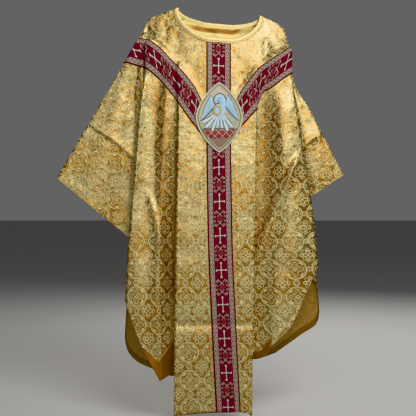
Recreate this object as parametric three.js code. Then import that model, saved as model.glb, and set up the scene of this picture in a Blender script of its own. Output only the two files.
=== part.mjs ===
// A Gothic chasuble as it hangs from its shoulders: front and back panels of gold damask,
// a woven Y-shaped orphrey on each, a bound neck, faced hems and an embroidered oval emblem.
// Millimetres, +Z up, the front faces -Y, and the wearer's right is at -X.
// The origin is on the centre line, at the mean height of the two neck points.
import * as THREE from "three";

// ---- driving dimensions ------------------------------------------------------------
const neckHalfWidth = 126;      // neck point to centre line
const shoulderTilt = 12;        // left neck point this far above the origin, right one below
const neckFrontDrop = 92;       // neck points down to the front edge of the opening
const neckBackDrop = 36;        // and to the back edge
const neckFrontDepth = 26;      // the opening's front edge ahead of the shoulder line
const neckBackDepth = 20;       // and its back edge behind it
const bindingWidth = 17;        // bias binding round the neck
const facingDepth = 62;         // satin facing inside the neck
const frontLength = 1240;       // origin down to the front hem at its lowest
const backLength = 1246;        // and to the back hem at its lowest
const hemFacingWidth = 26;      // facing strip inside the hems
const ridgeHalf = 9;            // half the width of the shoulder ridge, which a hanger fills
const hemDepthFront = 58;       // front hem ahead of the shoulder line
const hemDepthBack = 50;        // back hem behind it
const columnWidth = 75;         // woven galloon of the vertical orphrey
const armWidth = 68;            // the same galloon where it runs to the shoulders
const emblemWidth = 144;        // oval emblem over the cord
const emblemHeight = 214;
const emblemCentre = -332;      // its centre below the origin
const panelThick = 1.4;         // damask with its interlining
const trimThick = 1.0;          // galloon, binding, facings and tapes
const stitchGap = 0.4;          // between a sewn piece and the cloth that carries it
const seamGap = 0.3;            // between the panels' edges along the shoulder seams
const tapeWidth = 12;           // stay tape under each shoulder seam
const tapeMargin = 4;           // and its clearance from the ends of the shoulder

// The two sides hang differently, because the shoulders slope to the wearer's left.
// x is the distance from the centre line and z the height, both in mm.
const left = {
  side: -1,
  shoulderEnd: { x: 222, z: -31 },
  armTop: { x: 249, z: -85 },       // upper edge of the orphrey arm on the overarm seam
  armBottom: { x: 292, z: -159 },   // lower edge there
  seamMid: { x: 389, z: -340 },
  tip: { x: 502, z: -518 },         // lower corner of the wing
  knee: { x: 130, z: -168 },        // bend in the upper edge of the arm
  armFoot: -298,                    // height at which that edge meets the column
  wingFoot: { x: 284, z: -704 },    // wing hem where the front panel folds over it
  foldWaist: { x: 250, z: -440 },   // the fold's edge half way down
  foldFoot: { x: 285, z: -892 },    // the fold's edge at the hem
  lobe: { x: 232, z: -1035 },
  lobeFoot: { x: 182, z: -1128 },
  dip: { x: 145, z: -1120 },
  stripTop: 122,                    // edge of the centre strip at the arms
  stripFoot: 132,                   // and at the hem
  backWingFoot: { x: 286, z: -716 },
  backFoldFoot: { x: 294, z: -930 },
  backLobe: { x: 282, z: -1068 },
  backLobeFoot: { x: 208, z: -1122 },
};
const right = {
  side: 1,
  shoulderEnd: { x: 207, z: -65 },
  armTop: { x: 219, z: -118 },
  armBottom: { x: 228, z: -196 },
  seamMid: { x: 306, z: -348 },
  tip: { x: 388, z: -508 },
  knee: { x: 122, z: -180 },
  armFoot: -288,
  wingFoot: { x: 291, z: -582 },
  foldWaist: { x: 262, z: -430 },
  foldFoot: { x: 304, z: -782 },
  lobe: { x: 247, z: -910 },
  lobeFoot: { x: 180, z: -1040 },
  dip: { x: 122, z: -1000 },
  stripTop: 118,
  stripFoot: 100,
  backWingFoot: { x: 294, z: -596 },
  backFoldFoot: { x: 313, z: -830 },
  backLobe: { x: 308, z: -978 },
  backLobeFoot: { x: 187, z: -1064 },
};

const waist = -650;             // height of the straight rays' middle points
const lobeWaist = { x: 216, z: -600 };
const lobeInnerWaist = { x: 170, z: -640 };
const dipMargin = 14;           // the dip beside the centre strip, from the strip's edge
const stripTurn = 0.34;         // where the strip's edge leaves the neck
const hemRise = 13;             // the hem's middle above its two corners
const columnDrift = 29;         // the column swings this far to +X at the hem
const rowsBelowArms = 13;       // rows of cloth between the arms and the hem facing
const wingDepth = 14;           // how far a wing's fold stands off the shoulder line
const bodyEase = 0.62;          // how quickly the body leaves the shoulder line

const halfColumn = columnWidth / 2;
const columnTurn = Math.acos(halfColumn / neckHalfWidth) / Math.PI;

// ---- small helpers -------------------------------------------------------------------
const mix = (a, b, t) => a + (b - a) * t;

// Height of a straight line through two points, at x.
const lineAt = (p, q, x) => mix(p.z, q.z, (x - p.x) / (q.x - p.x));

// One ray of cloth runs from the neck opening to the hem. It holds the point at the neck,
// at both edges of the orphrey arm, half way down, and at the hem.
// turn: place round the half opening, 0 at the shoulder seam and 0.5 at the centre.
// fullness: share of the body's depth that the ray has at the hem.
function clothRays(half, isFront) {
  const arm = armEdges(half);
  const foldFoot = isFront ? half.foldFoot : half.backFoldFoot;
  const wingFoot = isFront ? half.wingFoot : half.backWingFoot;
  const lobe = isFront ? half.lobe : half.backLobe;
  const lobeFoot = isFront ? half.lobeFoot : half.backLobeFoot;
  const length = isFront ? frontLength : backLength;
  const dip = isFront ? half.dip : { x: half.stripFoot + dipMargin, z: mix(-length, half.backLobeFoot.z, 0.8) };
  const between = (a, b, t) => ({ x: mix(a.x, b.x, t), z: mix(a.z, b.z, t) });
  const wingHem = (t) => between(half.tip, wingFoot, t);
  const wingMid = (t) => between(half.seamMid, half.foldWaist, t);
  const drift = half.side * columnDrift;
  const seam = { x: half.armTop.x, z: half.armTop.z, low: half.armBottom, mid: half.seamMid, hem: half.tip };
  const ray = (turn, topX, lowX, mid, hem, fullness) => ({
    turn,
    top: { x: topX, z: arm.top(topX) },
    low: { x: lowX, z: arm.low(lowX) },
    mid,
    hem,
    fullness,
  });
  const straight = (topX, footX) => ({ x: mix(topX, footX, 0.5), z: waist });
  const stripMid = mix(half.stripTop, half.stripFoot, 0.5);
  const edge = half.stripTop;
  return [
    { turn: 0, top: { x: seam.x, z: seam.z }, low: seam.low, mid: seam.mid, hem: seam.hem, fullness: 0 },
    { turn: 0.04, top: { x: seam.x, z: seam.z }, low: seam.low, mid: seam.mid, hem: seam.hem, fullness: 0 },
    ray(0.09, mix(seam.x, edge, 0.07), mix(seam.low.x, edge, 0.12), wingMid(0.26), wingHem(0.33), 0.1),
    ray(0.14, mix(seam.x, edge, 0.13), mix(seam.low.x, edge, 0.22), wingMid(0.58), wingHem(0.67), 0.17),
    ray(0.19, mix(seam.x, edge, 0.19), mix(seam.low.x, edge, 0.31), wingMid(0.9), wingHem(1), 0.22),
    ray(0.24, mix(seam.x, edge, 0.27), mix(seam.low.x, edge, 0.39), half.foldWaist, foldFoot, 0.92),
    ray(0.265, mix(seam.x, edge, 0.48), mix(seam.low.x, edge, 0.56), lobeWaist, lobe, 1),
    ray(0.29, mix(seam.x, edge, 0.72), mix(seam.low.x, edge, 0.76), lobeInnerWaist, lobeFoot, 1),
    ray(0.315, edge + dipMargin, edge + dipMargin, { x: stripMid + dipMargin, z: lobeInnerWaist.z }, dip, 0.96),
    ray(stripTurn, edge, edge, straight(edge, half.stripFoot), { x: half.stripFoot, z: -length }, 1.1),
    ray(
      mix(stripTurn, columnTurn, 0.5),
      mix(halfColumn, edge, 0.5),
      mix(halfColumn, edge, 0.5),
      straight(mix(halfColumn, edge, 0.5), mix(halfColumn + drift, half.stripFoot, 0.5)),
      { x: mix(halfColumn + drift, half.stripFoot, 0.5), z: -length + hemRise },
      1.12,
    ),
    ray(columnTurn, halfColumn, halfColumn, { x: halfColumn + drift * 0.15, z: waist },
      { x: halfColumn + drift, z: -length + hemRise }, 1.12),
  ];
}

// The arm's upper edge bends once, at the knee; its lower edge is parallel to it.
function armEdges(half) {
  const foot = { x: halfColumn, z: half.armFoot };
  const slope = (p, q) => Math.atan2(p.z - q.z, p.x - q.x);
  const outer = slope(half.armTop, half.knee);
  const inner = slope(half.knee, foot);
  const bisector = (outer + inner) / 2;
  const reach = armWidth / Math.cos((inner - outer) / 2);
  const lowKnee = { x: half.knee.x + reach * Math.sin(bisector), z: half.knee.z - reach * Math.cos(bisector) };
  const lowFoot = { x: foot.x, z: lowKnee.z - (lowKnee.x - foot.x) * Math.tan(inner) };
  return {
    top: (x) => (x > half.knee.x ? lineAt(half.armTop, half.knee, x) : lineAt(half.knee, foot, x)),
    low: (x) => (x > lowKnee.x ? lineAt(half.armBottom, lowKnee, x) : lineAt(lowKnee, lowFoot, x)),
  };
}

// Row heights along a ray: 0 at the neck, 1 the binding's edge, 2 the neck facing's,
// 3 the end of the hanger, 4 to 6 across the arm, then evenly to the hem facing and the hem.
const rowBinding = 1;
const rowFacing = 2;
const rowShoulder = 3;
const rowArmTop = 4;
const rowArmLow = 6;
const rowHemFacing = rowArmLow + rowsBelowArms;
const rowHem = rowHemFacing + 1;

// ---- the hanging cloth -----------------------------------------------------------------
// The outer surface of one panel: a grid of points, one column for each ray.
function panelGrid(isFront) {
  const facingY = isFront ? -1 : 1;
  const neckDepth = isFront ? neckFrontDepth : neckBackDepth;
  const neckDrop = isFront ? neckFrontDrop : neckBackDrop;
  const hemDepth = isFront ? hemDepthFront : hemDepthBack;
  const bodyDepth = (z) => neckDepth + (hemDepth - neckDepth) * Math.pow(Math.min(1, Math.max(0, -z / 900)), bodyEase);

  function column(ray, half) {
    const isSeam = ray.turn < 0.05;
    const angle = isSeam ? 0 : Math.PI * ray.turn;
    const tilt = -half.side * shoulderTilt;
    const neck = { x: neckHalfWidth * Math.cos(angle), z: tilt * Math.cos(angle) - neckDrop * Math.sin(angle) };
    const shoulderRun = Math.hypot(half.shoulderEnd.x - neckHalfWidth, half.shoulderEnd.z - tilt);
    const along = {
      x: (half.shoulderEnd.x - neckHalfWidth) / shoulderRun,
      z: (half.shoulderEnd.z - tilt) / shoulderRun,
    };
    // Away from the opening: along the shoulder at the seam, straight down under the column.
    const lean = ray.turn < columnTurn ? Math.cos(angle) : 0;
    const away = new THREE.Vector2(along.x * lean, along.z * lean - Math.sin(angle)).normalize();
    const from = (distance) => ({ x: neck.x + away.x * distance, z: neck.z + away.y * distance });
    const points = [from(0), from(bindingWidth)];
    const shoulder = isSeam ? half.shoulderEnd : null;
    const facingEdge = from(Math.min(facingDepth, 0.45 * Math.hypot(ray.top.x - neck.x, ray.top.z - neck.z)));
    points.push(facingEdge);
    points.push(shoulder ?? { x: mix(facingEdge.x, ray.top.x, 0.5), z: mix(facingEdge.z, ray.top.z, 0.5) });
    points.push(ray.top);
    points.push({ x: mix(ray.top.x, ray.low.x, 0.5), z: mix(ray.top.z, ray.low.z, 0.5) });
    points.push(ray.low);
    // From the arm to the hem facing, through the ray's middle point.
    const last = { x: ray.hem.x, z: ray.hem.z };
    const run = Math.hypot(last.x - ray.mid.x, last.z - ray.mid.z);
    const hemEdge = {
      x: mix(last.x, ray.mid.x, hemFacingWidth / run),
      z: mix(last.z, ray.mid.z, hemFacingWidth / run),
    };
    const upper = Math.hypot(ray.mid.x - ray.low.x, ray.mid.z - ray.low.z);
    const lower = Math.hypot(hemEdge.x - ray.mid.x, hemEdge.z - ray.mid.z);
    for (let row = 1; row <= rowsBelowArms; row += 1) {
      const distance = (row / rowsBelowArms) * (upper + lower);
      const onUpper = distance < upper;
      const t = onUpper ? distance / upper : (distance - upper) / lower;
      const start = onUpper ? ray.low : ray.mid;
      const end = onUpper ? ray.mid : hemEdge;
      points.push({ x: mix(start.x, end.x, t), z: mix(start.z, end.z, t) });
    }
    points.push(last);
    const topFullness = Math.sin(angle);
    return points.map((point, row) => {
      const below = Math.max(0, row - rowArmLow) / (rowHem - rowArmLow);
      const fullness = mix(topFullness, ray.fullness, Math.pow(below, 0.6));
      const stand = mix(ridgeHalf, wingDepth * 0.45, below);
      const depth = ray.turn === 0 ? seamGap / 2 : mix(stand, bodyDepth(point.z), fullness);
      return new THREE.Vector3(half.side * point.x, facingY * depth, point.z);
    });
  }

  const leftColumns = clothRays(left, isFront).map((ray) => column(ray, left));
  const rightColumns = clothRays(right, isFront).map((ray) => column(ray, right)).reverse();
  const columns = [...leftColumns, centreColumn(leftColumns.at(-1), rightColumns[0]), ...rightColumns];
  return isFront ? columns : columns.reverse();
}

// The middle of the column lies half way between its two edges.
const centreColumn = (a, b) => a.map((point, row) => point.clone().lerp(b[row], 0.5));

// Unit normals of a grid's points, averaged over the faces round each point.
// On the two seam columns they stay in the plane of the seam, so that the panels never cross.
function gridNormals(grid) {
  const normals = grid.map((column) => column.map(() => new THREE.Vector3()));
  for (let i = 0; i + 1 < grid.length; i += 1) {
    for (let j = 0; j + 1 < grid[i].length; j += 1) {
      const across = grid[i + 1][j + 1].clone().sub(grid[i][j]);
      const down = grid[i][j + 1].clone().sub(grid[i + 1][j]);
      const normal = down.cross(across).normalize();
      for (const [a, b] of [[i, j], [i + 1, j], [i, j + 1], [i + 1, j + 1]]) {
        normals[a][b].add(normal);
      }
    }
  }
  for (const seamColumn of [normals[0], normals.at(-1)]) {
    seamColumn.forEach((normal) => normal.setY(0));
  }
  return normals.map((column) => column.map((normal) => normal.normalize()));
}

// Part of a grid, moved out along its normals. Negative offsets lie inside the garment.
function offsetGrid(surface, offset, columns = [0, Infinity], rows = [0, Infinity]) {
  const pick = (list, range) => list.slice(range[0], range[1] + 1);
  const normals = pick(surface.normals, columns);
  return pick(surface.grid, columns).map((column, i) => {
    const columnNormals = pick(normals[i], rows);
    return pick(column, rows).map((point, j) => point.clone().addScaledVector(columnNormals[j], offset));
  });
}

// A closed sheet between an outer and an inner grid of the same size.
function sheetGeometry(outer, inner, isRing = false) {
  const columns = outer.length;
  const rows = outer[0].length;
  const positions = [...outer.flat(), ...inner.flat()].flatMap((point) => point.toArray());
  const at = (layer, i, j) => layer * columns * rows + (i % columns) * rows + j;
  const index = [];
  const quad = (a, b, c, d) => index.push(a, b, c, a, c, d);
  const spans = isRing ? columns : columns - 1;
  for (let i = 0; i < spans; i += 1) {
    for (let j = 0; j + 1 < rows; j += 1) {
      quad(at(0, i, j), at(0, i, j + 1), at(0, i + 1, j + 1), at(0, i + 1, j));
      quad(at(1, i, j), at(1, i + 1, j), at(1, i + 1, j + 1), at(1, i, j + 1));
    }
    quad(at(0, i, 0), at(0, i + 1, 0), at(1, i + 1, 0), at(1, i, 0));
    quad(at(0, i, rows - 1), at(1, i, rows - 1), at(1, i + 1, rows - 1), at(0, i + 1, rows - 1));
  }
  for (let j = 0; !isRing && j + 1 < rows; j += 1) {
    quad(at(0, 0, j), at(1, 0, j), at(1, 0, j + 1), at(0, 0, j + 1));
    quad(at(0, columns - 1, j), at(0, columns - 1, j + 1), at(1, columns - 1, j + 1), at(1, columns - 1, j));
  }
  const geometry = new THREE.BufferGeometry();
  geometry.setAttribute("position", new THREE.Float32BufferAttribute(positions, 3));
  geometry.setIndex(index);
  geometry.computeVertexNormals();
  return geometry;
}

// ---- materials ---------------------------------------------------------------------------
const cloth = (color, roughness, metalness = 0) => new THREE.MeshStandardMaterial({ color, roughness, metalness });
const damask = cloth(0xcdb06a, 0.45, 0.35);
const satin = cloth(0xb98a2c, 0.35, 0.3);
const galloon = cloth(0x7b1230, 0.7);
const linen = cloth(0xe6dcc0, 0.9);
const taupe = cloth(0xa59a88, 0.8);
const silverCord = cloth(0xd5dada, 0.5, 0.2);
const goldBraid = cloth(0xa98a4a, 0.5, 0.3);
const blueThread = cloth(0xa9cdeb, 0.5);
const paleThread = cloth(0xdceaf4, 0.5);
const redThread = cloth(0xb0404a, 0.55);
const goldThread = cloth(0xd6b45e, 0.45, 0.3);

const chasuble = new THREE.Group();
function addPiece(name, geometry, material, parent = chasuble) {
  const mesh = new THREE.Mesh(geometry, material);
  mesh.name = name;
  parent.add(mesh);
  return mesh;
}

// ---- panels and what is sewn to them ------------------------------------------------------
const surfaces = {};
for (const side of ["front", "back"]) {
  const grid = panelGrid(side === "front");
  surfaces[side] = { grid, normals: gridNormals(grid) };
}
const lastColumn = surfaces.front.grid.length - 1;
const middle = lastColumn / 2;
const trimOuter = stitchGap + trimThick;
const facingOuter = -(panelThick + stitchGap);
const facingInner = facingOuter - trimThick;

// A sheet that lies on a panel between two offsets from its outer surface.
function layer(name, side, outerOffset, innerOffset, columns, rows, material) {
  const outer = offsetGrid(surfaces[side], outerOffset, columns, rows);
  const inner = offsetGrid(surfaces[side], innerOffset, columns, rows);
  return addPiece(name, sheetGeometry(outer, inner), material);
}

// The column's sheet stops short of the arms, which meet it on both sides, and of the binding.
function columnSheet(side, offset) {
  const sheet = offsetGrid(surfaces[side], offset, [middle - 1, middle + 1], [rowBinding, rowHem]);
  const [first, centre, last] = sheet;
  const width = first[0].distanceTo(last[0]);
  const inset = (2 * stitchGap) / width;
  sheet[0] = first.map((point, row) => point.clone().lerp(centre[row], inset));
  sheet[2] = last.map((point, row) => point.clone().lerp(centre[row], inset));
  sheet.forEach((column) => column[0].lerp(column[1], inset));
  return sheet;
}

for (const side of ["front", "back"]) {
  const everyColumn = [0, lastColumn];
  // On the back panel the columns run the other way, so its first arm is on the right.
  const [first, second] = side === "front" ? ["left", "right"] : ["right", "left"];
  layer(`${side}_panel`, side, 0, -panelThick, everyColumn, [0, rowHem], damask);
  layer(`${side}_neck_facing`, side, facingOuter, facingInner, [2, lastColumn - 2], [0, rowFacing], satin);
  layer(`${side}_hem_facing`, side, facingOuter, facingInner, [2, lastColumn - 2], [rowHemFacing, rowHem], satin);
  addPiece(`${side}_orphrey_column`, sheetGeometry(columnSheet(side, trimOuter), columnSheet(side, stitchGap)),
    galloon);
  const armRows = [rowArmTop, rowArmLow];
  layer(`${side}_orphrey_arm_${first}`, side, trimOuter, stitchGap, [0, middle - 1], armRows, galloon);
  layer(`${side}_orphrey_arm_${second}`, side, trimOuter, stitchGap, [middle + 1, lastColumn], armRows, galloon);
}

// The binding is one closed ring round the neck, over both panels.
function neckRing(offset) {
  const rows = [0, rowBinding];
  return [
    ...offsetGrid(surfaces.front, offset, [0, lastColumn], rows),
    ...offsetGrid(surfaces.back, offset, [0, lastColumn], rows),
  ];
}
addPiece("neck_binding", sheetGeometry(neckRing(trimOuter), neckRing(stitchGap), true), satin);

// ---- stay tapes under the shoulder seams -------------------------------------------------
for (const [name, half] of [["left", left], ["right", right]]) {
  const neck = new THREE.Vector3(half.side * neckHalfWidth, 0, -half.side * shoulderTilt);
  const end = new THREE.Vector3(half.side * half.shoulderEnd.x, 0, half.shoulderEnd.z);
  const run = end.clone().sub(neck);
  const length = run.length() - 2 * tapeMargin;
  const up = new THREE.Vector3(-run.z, 0, run.x).normalize().multiplyScalar(half.side);
  const centre = neck.clone().lerp(end, 0.5);
  centre.addScaledVector(up, facingOuter - trimThick / 2);
  const tape = addPiece(`${name}_shoulder_stay_tape`, new THREE.BoxGeometry(length, tapeWidth, trimThick), linen);
  tape.position.copy(centre);
  tape.rotation.y = -Math.atan2(run.z, run.x);
}

// ---- emblem --------------------------------------------------------------------------------
// It is drawn in its own plane, x across and y up, and stands off the orphrey towards the front.
// Half sizes of the oval shrink by the width of each ring from the edge inwards.
const cordWidth = 5;
const braidWidth = 6;
const innerCordWidth = 3.5;
const ringGap = 0.3;
const patchThick = 1.2;

function oval(inset) {
  const w = emblemWidth / 2 - inset;
  const h = emblemHeight / 2 - inset * 1.15;
  const shape = new THREE.Shape();
  shape.moveTo(0, h);
  shape.bezierCurveTo(w * 0.42, h * 0.86, w, h * 0.36, w, -h * 0.06);
  shape.bezierCurveTo(w, -h * 0.5, w * 0.42, -h * 0.86, 0, -h);
  shape.bezierCurveTo(-w * 0.42, -h * 0.86, -w, -h * 0.5, -w, -h * 0.06);
  shape.bezierCurveTo(-w, h * 0.36, -w * 0.42, h * 0.86, 0, h);
  return shape;
}

// A closed outline through hand-set points, given as shares of the emblem's half sizes.
function outline(points, isSmooth = true) {
  const scaled = points.map(([x, y]) => new THREE.Vector2((x * emblemWidth) / 2, (y * emblemHeight) / 2));
  const shape = new THREE.Shape();
  shape.moveTo(scaled[0].x, scaled[0].y);
  if (isSmooth) {
    shape.splineThru([...scaled.slice(1), scaled[0]]);
  } else {
    scaled.slice(1).forEach((point) => shape.lineTo(point.x, point.y));
  }
  return shape;
}
const mirrored = (points) => points.map(([x, y]) => [-x, y]);

const emblem = new THREE.Group();
const emblemTop = surfaceDepth(emblemCentre + emblemHeight / 2);
const emblemFoot = surfaceDepth(emblemCentre - emblemHeight / 2);
const emblemLift = trimOuter + stitchGap;
emblem.position.set(2, -((emblemTop + emblemFoot) / 2) - emblemLift, emblemCentre);
emblem.rotation.x = Math.PI / 2 - Math.atan2(emblemFoot - emblemTop, emblemHeight);
chasuble.add(emblem);

// Depth of the front panel's centre line at height z, between the rows that hold it.
function surfaceDepth(z) {
  const line = surfaces.front.grid[middle];
  const row = Math.max(1, line.findIndex((point) => point.z < z));
  const t = (z - line[row - 1].z) / (line[row].z - line[row - 1].z);
  return -mix(line[row - 1].y, line[row].y, t);
}

// layerHeight: where the piece's back lies in front of the patch's back.
function stitched(name, shape, layerHeight, thick, material) {
  const geometry = new THREE.ExtrudeGeometry(shape, { depth: thick, bevelEnabled: false, curveSegments: 7 });
  geometry.translate(0, 0, layerHeight);
  return addPiece(name, geometry, material, emblem);
}
// A flat closed ring that follows the oval, from one inset to the next.
function ovalRing(name, outerInset, width, thick, material) {
  const edges = [outerInset, outerInset + width].map((inset) => oval(inset).getPoints(ovalSteps).slice(0, -1));
  const layerAt = (height) => edges[0].map((point, i) => [
    new THREE.Vector3(point.x, point.y, height),
    new THREE.Vector3(edges[1][i].x, edges[1][i].y, height),
  ]);
  addPiece(name, sheetGeometry(layerAt(firstLayer + thick), layerAt(firstLayer), true), material, emblem);
}
const firstLayer = patchThick + 0.3;
const satinStitch = 1.0;
const ovalSteps = 8;
const secondLayer = firstLayer + satinStitch + 0.3;
const thirdLayer = secondLayer + satinStitch + 0.3;

stitched("emblem_patch", oval(0.6), 0, patchThick, taupe);
ovalRing("emblem_outer_cord", 0, cordWidth, 3, silverCord);
ovalRing("emblem_gold_braid", cordWidth + ringGap, braidWidth, 1.8, goldBraid);
ovalRing("emblem_inner_cord", cordWidth + braidWidth + 2 * ringGap, innerCordWidth, 2.2, silverCord);

// A bird with lifted wings over a woven nest.
const wing = [[-0.14, 0.02], [-0.3, 0.24], [-0.36, 0.44], [-0.52, 0.3], [-0.64, 0.06], [-0.68, -0.16],
  [-0.5, -0.14], [-0.3, -0.1], [-0.16, -0.12]];
stitched("bird_wing_left", outline(wing), firstLayer, satinStitch, blueThread);
stitched("bird_wing_right", outline(mirrored(wing)), firstLayer, satinStitch, blueThread);
const featherFan = [[0, -0.1], [-0.14, -0.13], [-0.34, -0.34], [-0.22, -0.37], [-0.1, -0.33], [0, -0.39],
  [0.1, -0.33], [0.22, -0.37], [0.34, -0.34], [0.14, -0.13]];
stitched("bird_feather_fan", outline(featherFan, false), firstLayer, satinStitch, paleThread);
const birdBody = [[0.1, 0.36], [-0.08, 0.42], [-0.2, 0.32], [-0.16, 0.16], [-0.05, 0.14], [-0.08, 0.27],
  [0.02, 0.3], [0.06, 0.2], [0.0, 0.06], [-0.06, -0.1], [0.06, -0.15], [0.18, -0.06], [0.22, 0.12], [0.19, 0.27]];
stitched("bird_body", outline(birdBody), secondLayer, satinStitch, blueThread);
const breastRing = new THREE.Shape();
breastRing.absarc(-6, 4, 11, 0, 2 * Math.PI);
breastRing.holes.push(new THREE.Path().absarc(-6, 4, 7, 0, 2 * Math.PI, true));
stitched("breast_ring", breastRing, thirdLayer, satinStitch, goldThread);
const nest = [[-0.6, -0.42], [-0.4, -0.62], [0.4, -0.62], [0.6, -0.42]];
stitched("nest", outline(nest, false), firstLayer, satinStitch + 0.6, redThread);
const nestBase = [[-0.34, -0.65], [0, -0.8], [0.34, -0.65]];
stitched("nest_base", outline(nestBase, false), firstLayer, satinStitch, taupe);

export default chasuble;
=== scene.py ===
"""A Gothic chasuble as it hangs: gold damask, woven Y-shaped orphreys, bound neck, embroidered emblem.

The cloth is worked out in millimetres and put into the meshes in metres. +X is to the viewer's
right, the front faces -Y, +Z is up, and the origin lies between the two neck points.
"""
import math

import bpy
import numpy as np
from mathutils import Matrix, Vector


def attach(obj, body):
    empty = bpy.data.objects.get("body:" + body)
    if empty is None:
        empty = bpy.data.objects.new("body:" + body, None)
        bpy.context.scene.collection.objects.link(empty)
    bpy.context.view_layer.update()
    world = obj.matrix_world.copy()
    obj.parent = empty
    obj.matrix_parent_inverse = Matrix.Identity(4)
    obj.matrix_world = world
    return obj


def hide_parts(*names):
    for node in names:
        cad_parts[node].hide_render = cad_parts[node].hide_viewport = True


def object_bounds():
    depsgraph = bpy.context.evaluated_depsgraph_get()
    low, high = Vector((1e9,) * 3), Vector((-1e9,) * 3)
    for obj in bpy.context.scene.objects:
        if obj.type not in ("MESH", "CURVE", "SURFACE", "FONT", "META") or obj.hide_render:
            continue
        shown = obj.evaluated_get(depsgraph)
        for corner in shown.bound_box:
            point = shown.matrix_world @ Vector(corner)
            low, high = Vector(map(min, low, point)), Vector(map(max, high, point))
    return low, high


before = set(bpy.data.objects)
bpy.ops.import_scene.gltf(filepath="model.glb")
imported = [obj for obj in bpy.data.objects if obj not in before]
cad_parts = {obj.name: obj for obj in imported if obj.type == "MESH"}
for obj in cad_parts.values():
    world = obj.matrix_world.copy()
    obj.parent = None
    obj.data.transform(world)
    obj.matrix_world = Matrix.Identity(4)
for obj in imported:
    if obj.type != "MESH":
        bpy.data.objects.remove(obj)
cad_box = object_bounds()

MM = 0.001

# ---- sizes of the garment, in mm -----------------------------------------------------------
NECK_HALF_WIDTH = 126
SHOULDER_TILT = 12
NECK_DROP = {"front": 92, "back": 36}
NECK_DEPTH = {"front": 26, "back": 20}
HEM_DEPTH = {"front": 58, "back": 50}
LENGTH = {"front": 1240, "back": 1246}
BINDING_WIDTH = 17
COLUMN_WIDTH = 75
COLUMN_DRIFT = 29
BODY_EASE = 0.62
PANEL_THICK = 1.2
TRIM_THICK = 0.9
SATIN_THICK = 0.5
TAPE_THICK = 0.7
EMBLEM_WIDTH = 144
EMBLEM_HEIGHT = 217
EMBLEM_CENTRE = -334
EMBLEM_SHIFT = 2.0
PATCH_TOP = 2.6
HEM_RISE = 13
HEM_FACING_WIDTH = {"front": 26, "back": 18}
TAPE_HALF = 6
EDGE_FALL = 0.35
GALLOON_REPEAT = 0.104

# Outer face of a trim over the panel's outer face, and of a lining under it.
LIFT = PANEL_THICK * 0.1 + TRIM_THICK
LINING_LIFT = -(PANEL_THICK + 0.15)

# How far into its repeat the galloon starts: where the column leaves the neck, where an arm
# leaves the column.
COLUMN_PHASE = 30.0
ARM_PHASE = 46.0

# Spacing of the cloth's rows and columns, and of the column's rows across.
MESH_SPACING = 6
COLUMN_SPACING = 5

# Places on the two halves of the hanging garment: (distance from the centre line, height).
LEFT = {
    "side": -1,
    "shoulder": (184, -11), "shoulder_end": (216, -26), "drop": (233, -60),
    "arm_top": (249, -85), "arm_low": (293, -160), "tip": (502, -518),
    "apex": (223, -95),
    "pleat_foot": (150, -806), "crest_foot": (285, -892),
    "lobe": (247, -998), "lobe_low": (212, -1070), "lobe_foot": (178, -1132), "dip": (150, -1120),
    "strip_top": 124, "strip_foot": 136,
    "arm_upper": [(37, -299), (55, -269), (96, -200), (135, -165), (184, -112), (220, -90), (249, -85)],
    "arm_lower": [(37, -400), (67, -370), (106, -316), (135, -274), (184, -214), (227, -179), (293, -160)],
    "back_crest_foot": (291, -935), "back_lobe": (294, -1040), "back_lobe_low": (258, -1096),
    "back_lobe_foot": (200, -1124), "back_dip": (150, -1136),
}
RIGHT = {
    "side": 1,
    "shoulder": (170, -32), "shoulder_end": (203, -58), "drop": (213, -92),
    "arm_top": (219, -118), "arm_low": (229, -197), "tip": (388, -508),
    "apex": (222, -190),
    "pleat_foot": (165, -655), "crest_foot": (304, -785),
    "lobe": (262, -876), "lobe_low": (217, -970), "lobe_foot": (158, -1030), "dip": (133, -1066),
    "strip_top": 117, "strip_foot": 101,
    "arm_upper": [(37, -297), (58, -265), (121, -181), (140, -168), (180, -142), (216, -118), (219, -117)],
    "arm_lower": [(37, -394), (73, -359), (117, -310), (124, -268), (171, -237), (200, -215), (229, -196)],
    "back_crest_foot": (312, -850), "back_lobe": (318, -962), "back_lobe_low": (262, -1012),
    "back_lobe_foot": (180, -1070), "back_dip": (125, -1084),
}


# ---- curves and surfaces ---------------------------------------------------------------------
def mix(a, b, t):
    return a + (b - a) * t


def between(p, q, t):
    return (mix(p[0], q[0], t), mix(p[1], q[1], t))


def smooth(t):
    """A slope of 0 at 0 and of 0 at 1: 3 t squared less 2 t cubed."""
    t = np.clip(t, 0, 1)
    return t * t * (3 - 2 * t)


def spline_weights(knots, at, creases=()):
    """Weights that carry values at the knots to the places in at: cubic Hermite pieces whose
    slope at a knot is the mean of the two chords there, or each side's own chord at a crease."""
    knots = np.asarray(knots, float)
    count = len(knots)
    chord = np.zeros((count - 1, count))
    step = np.diff(knots)
    rows = np.arange(count - 1)
    chord[rows, rows] = -1 / step
    chord[rows, rows + 1] = 1 / step
    leaving = np.vstack([chord, chord[-1:]])
    arriving = np.vstack([chord[:1], chord])
    for k in range(1, count - 1):
        if k not in creases:
            blend = step[k - 1] / (step[k - 1] + step[k])
            leaving[k] = arriving[k] = chord[k - 1] * (1 - blend) + chord[k] * blend
    at = np.clip(at, knots[0], knots[-1])
    k = np.clip(np.searchsorted(knots, at, side="right") - 1, 0, count - 2)
    h = step[k]
    t = (at - knots[k]) / h
    unit = np.eye(count)
    weights = (2 * t**3 - 3 * t**2 + 1)[:, None] * unit[k]
    weights += (3 * t**2 - 2 * t**3)[:, None] * unit[k + 1]
    weights += (h * (t**3 - 2 * t**2 + t))[:, None] * leaving[k]
    weights += (h * (t**3 - t**2))[:, None] * arriving[k + 1]
    return weights


def product(over, values, down):
    """Values on a grid of knots carried to a finer grid by weights over its rows and columns."""
    return np.einsum("vl,ulc->uvc", down, np.tensordot(over, values, 1), optimize=True)


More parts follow.
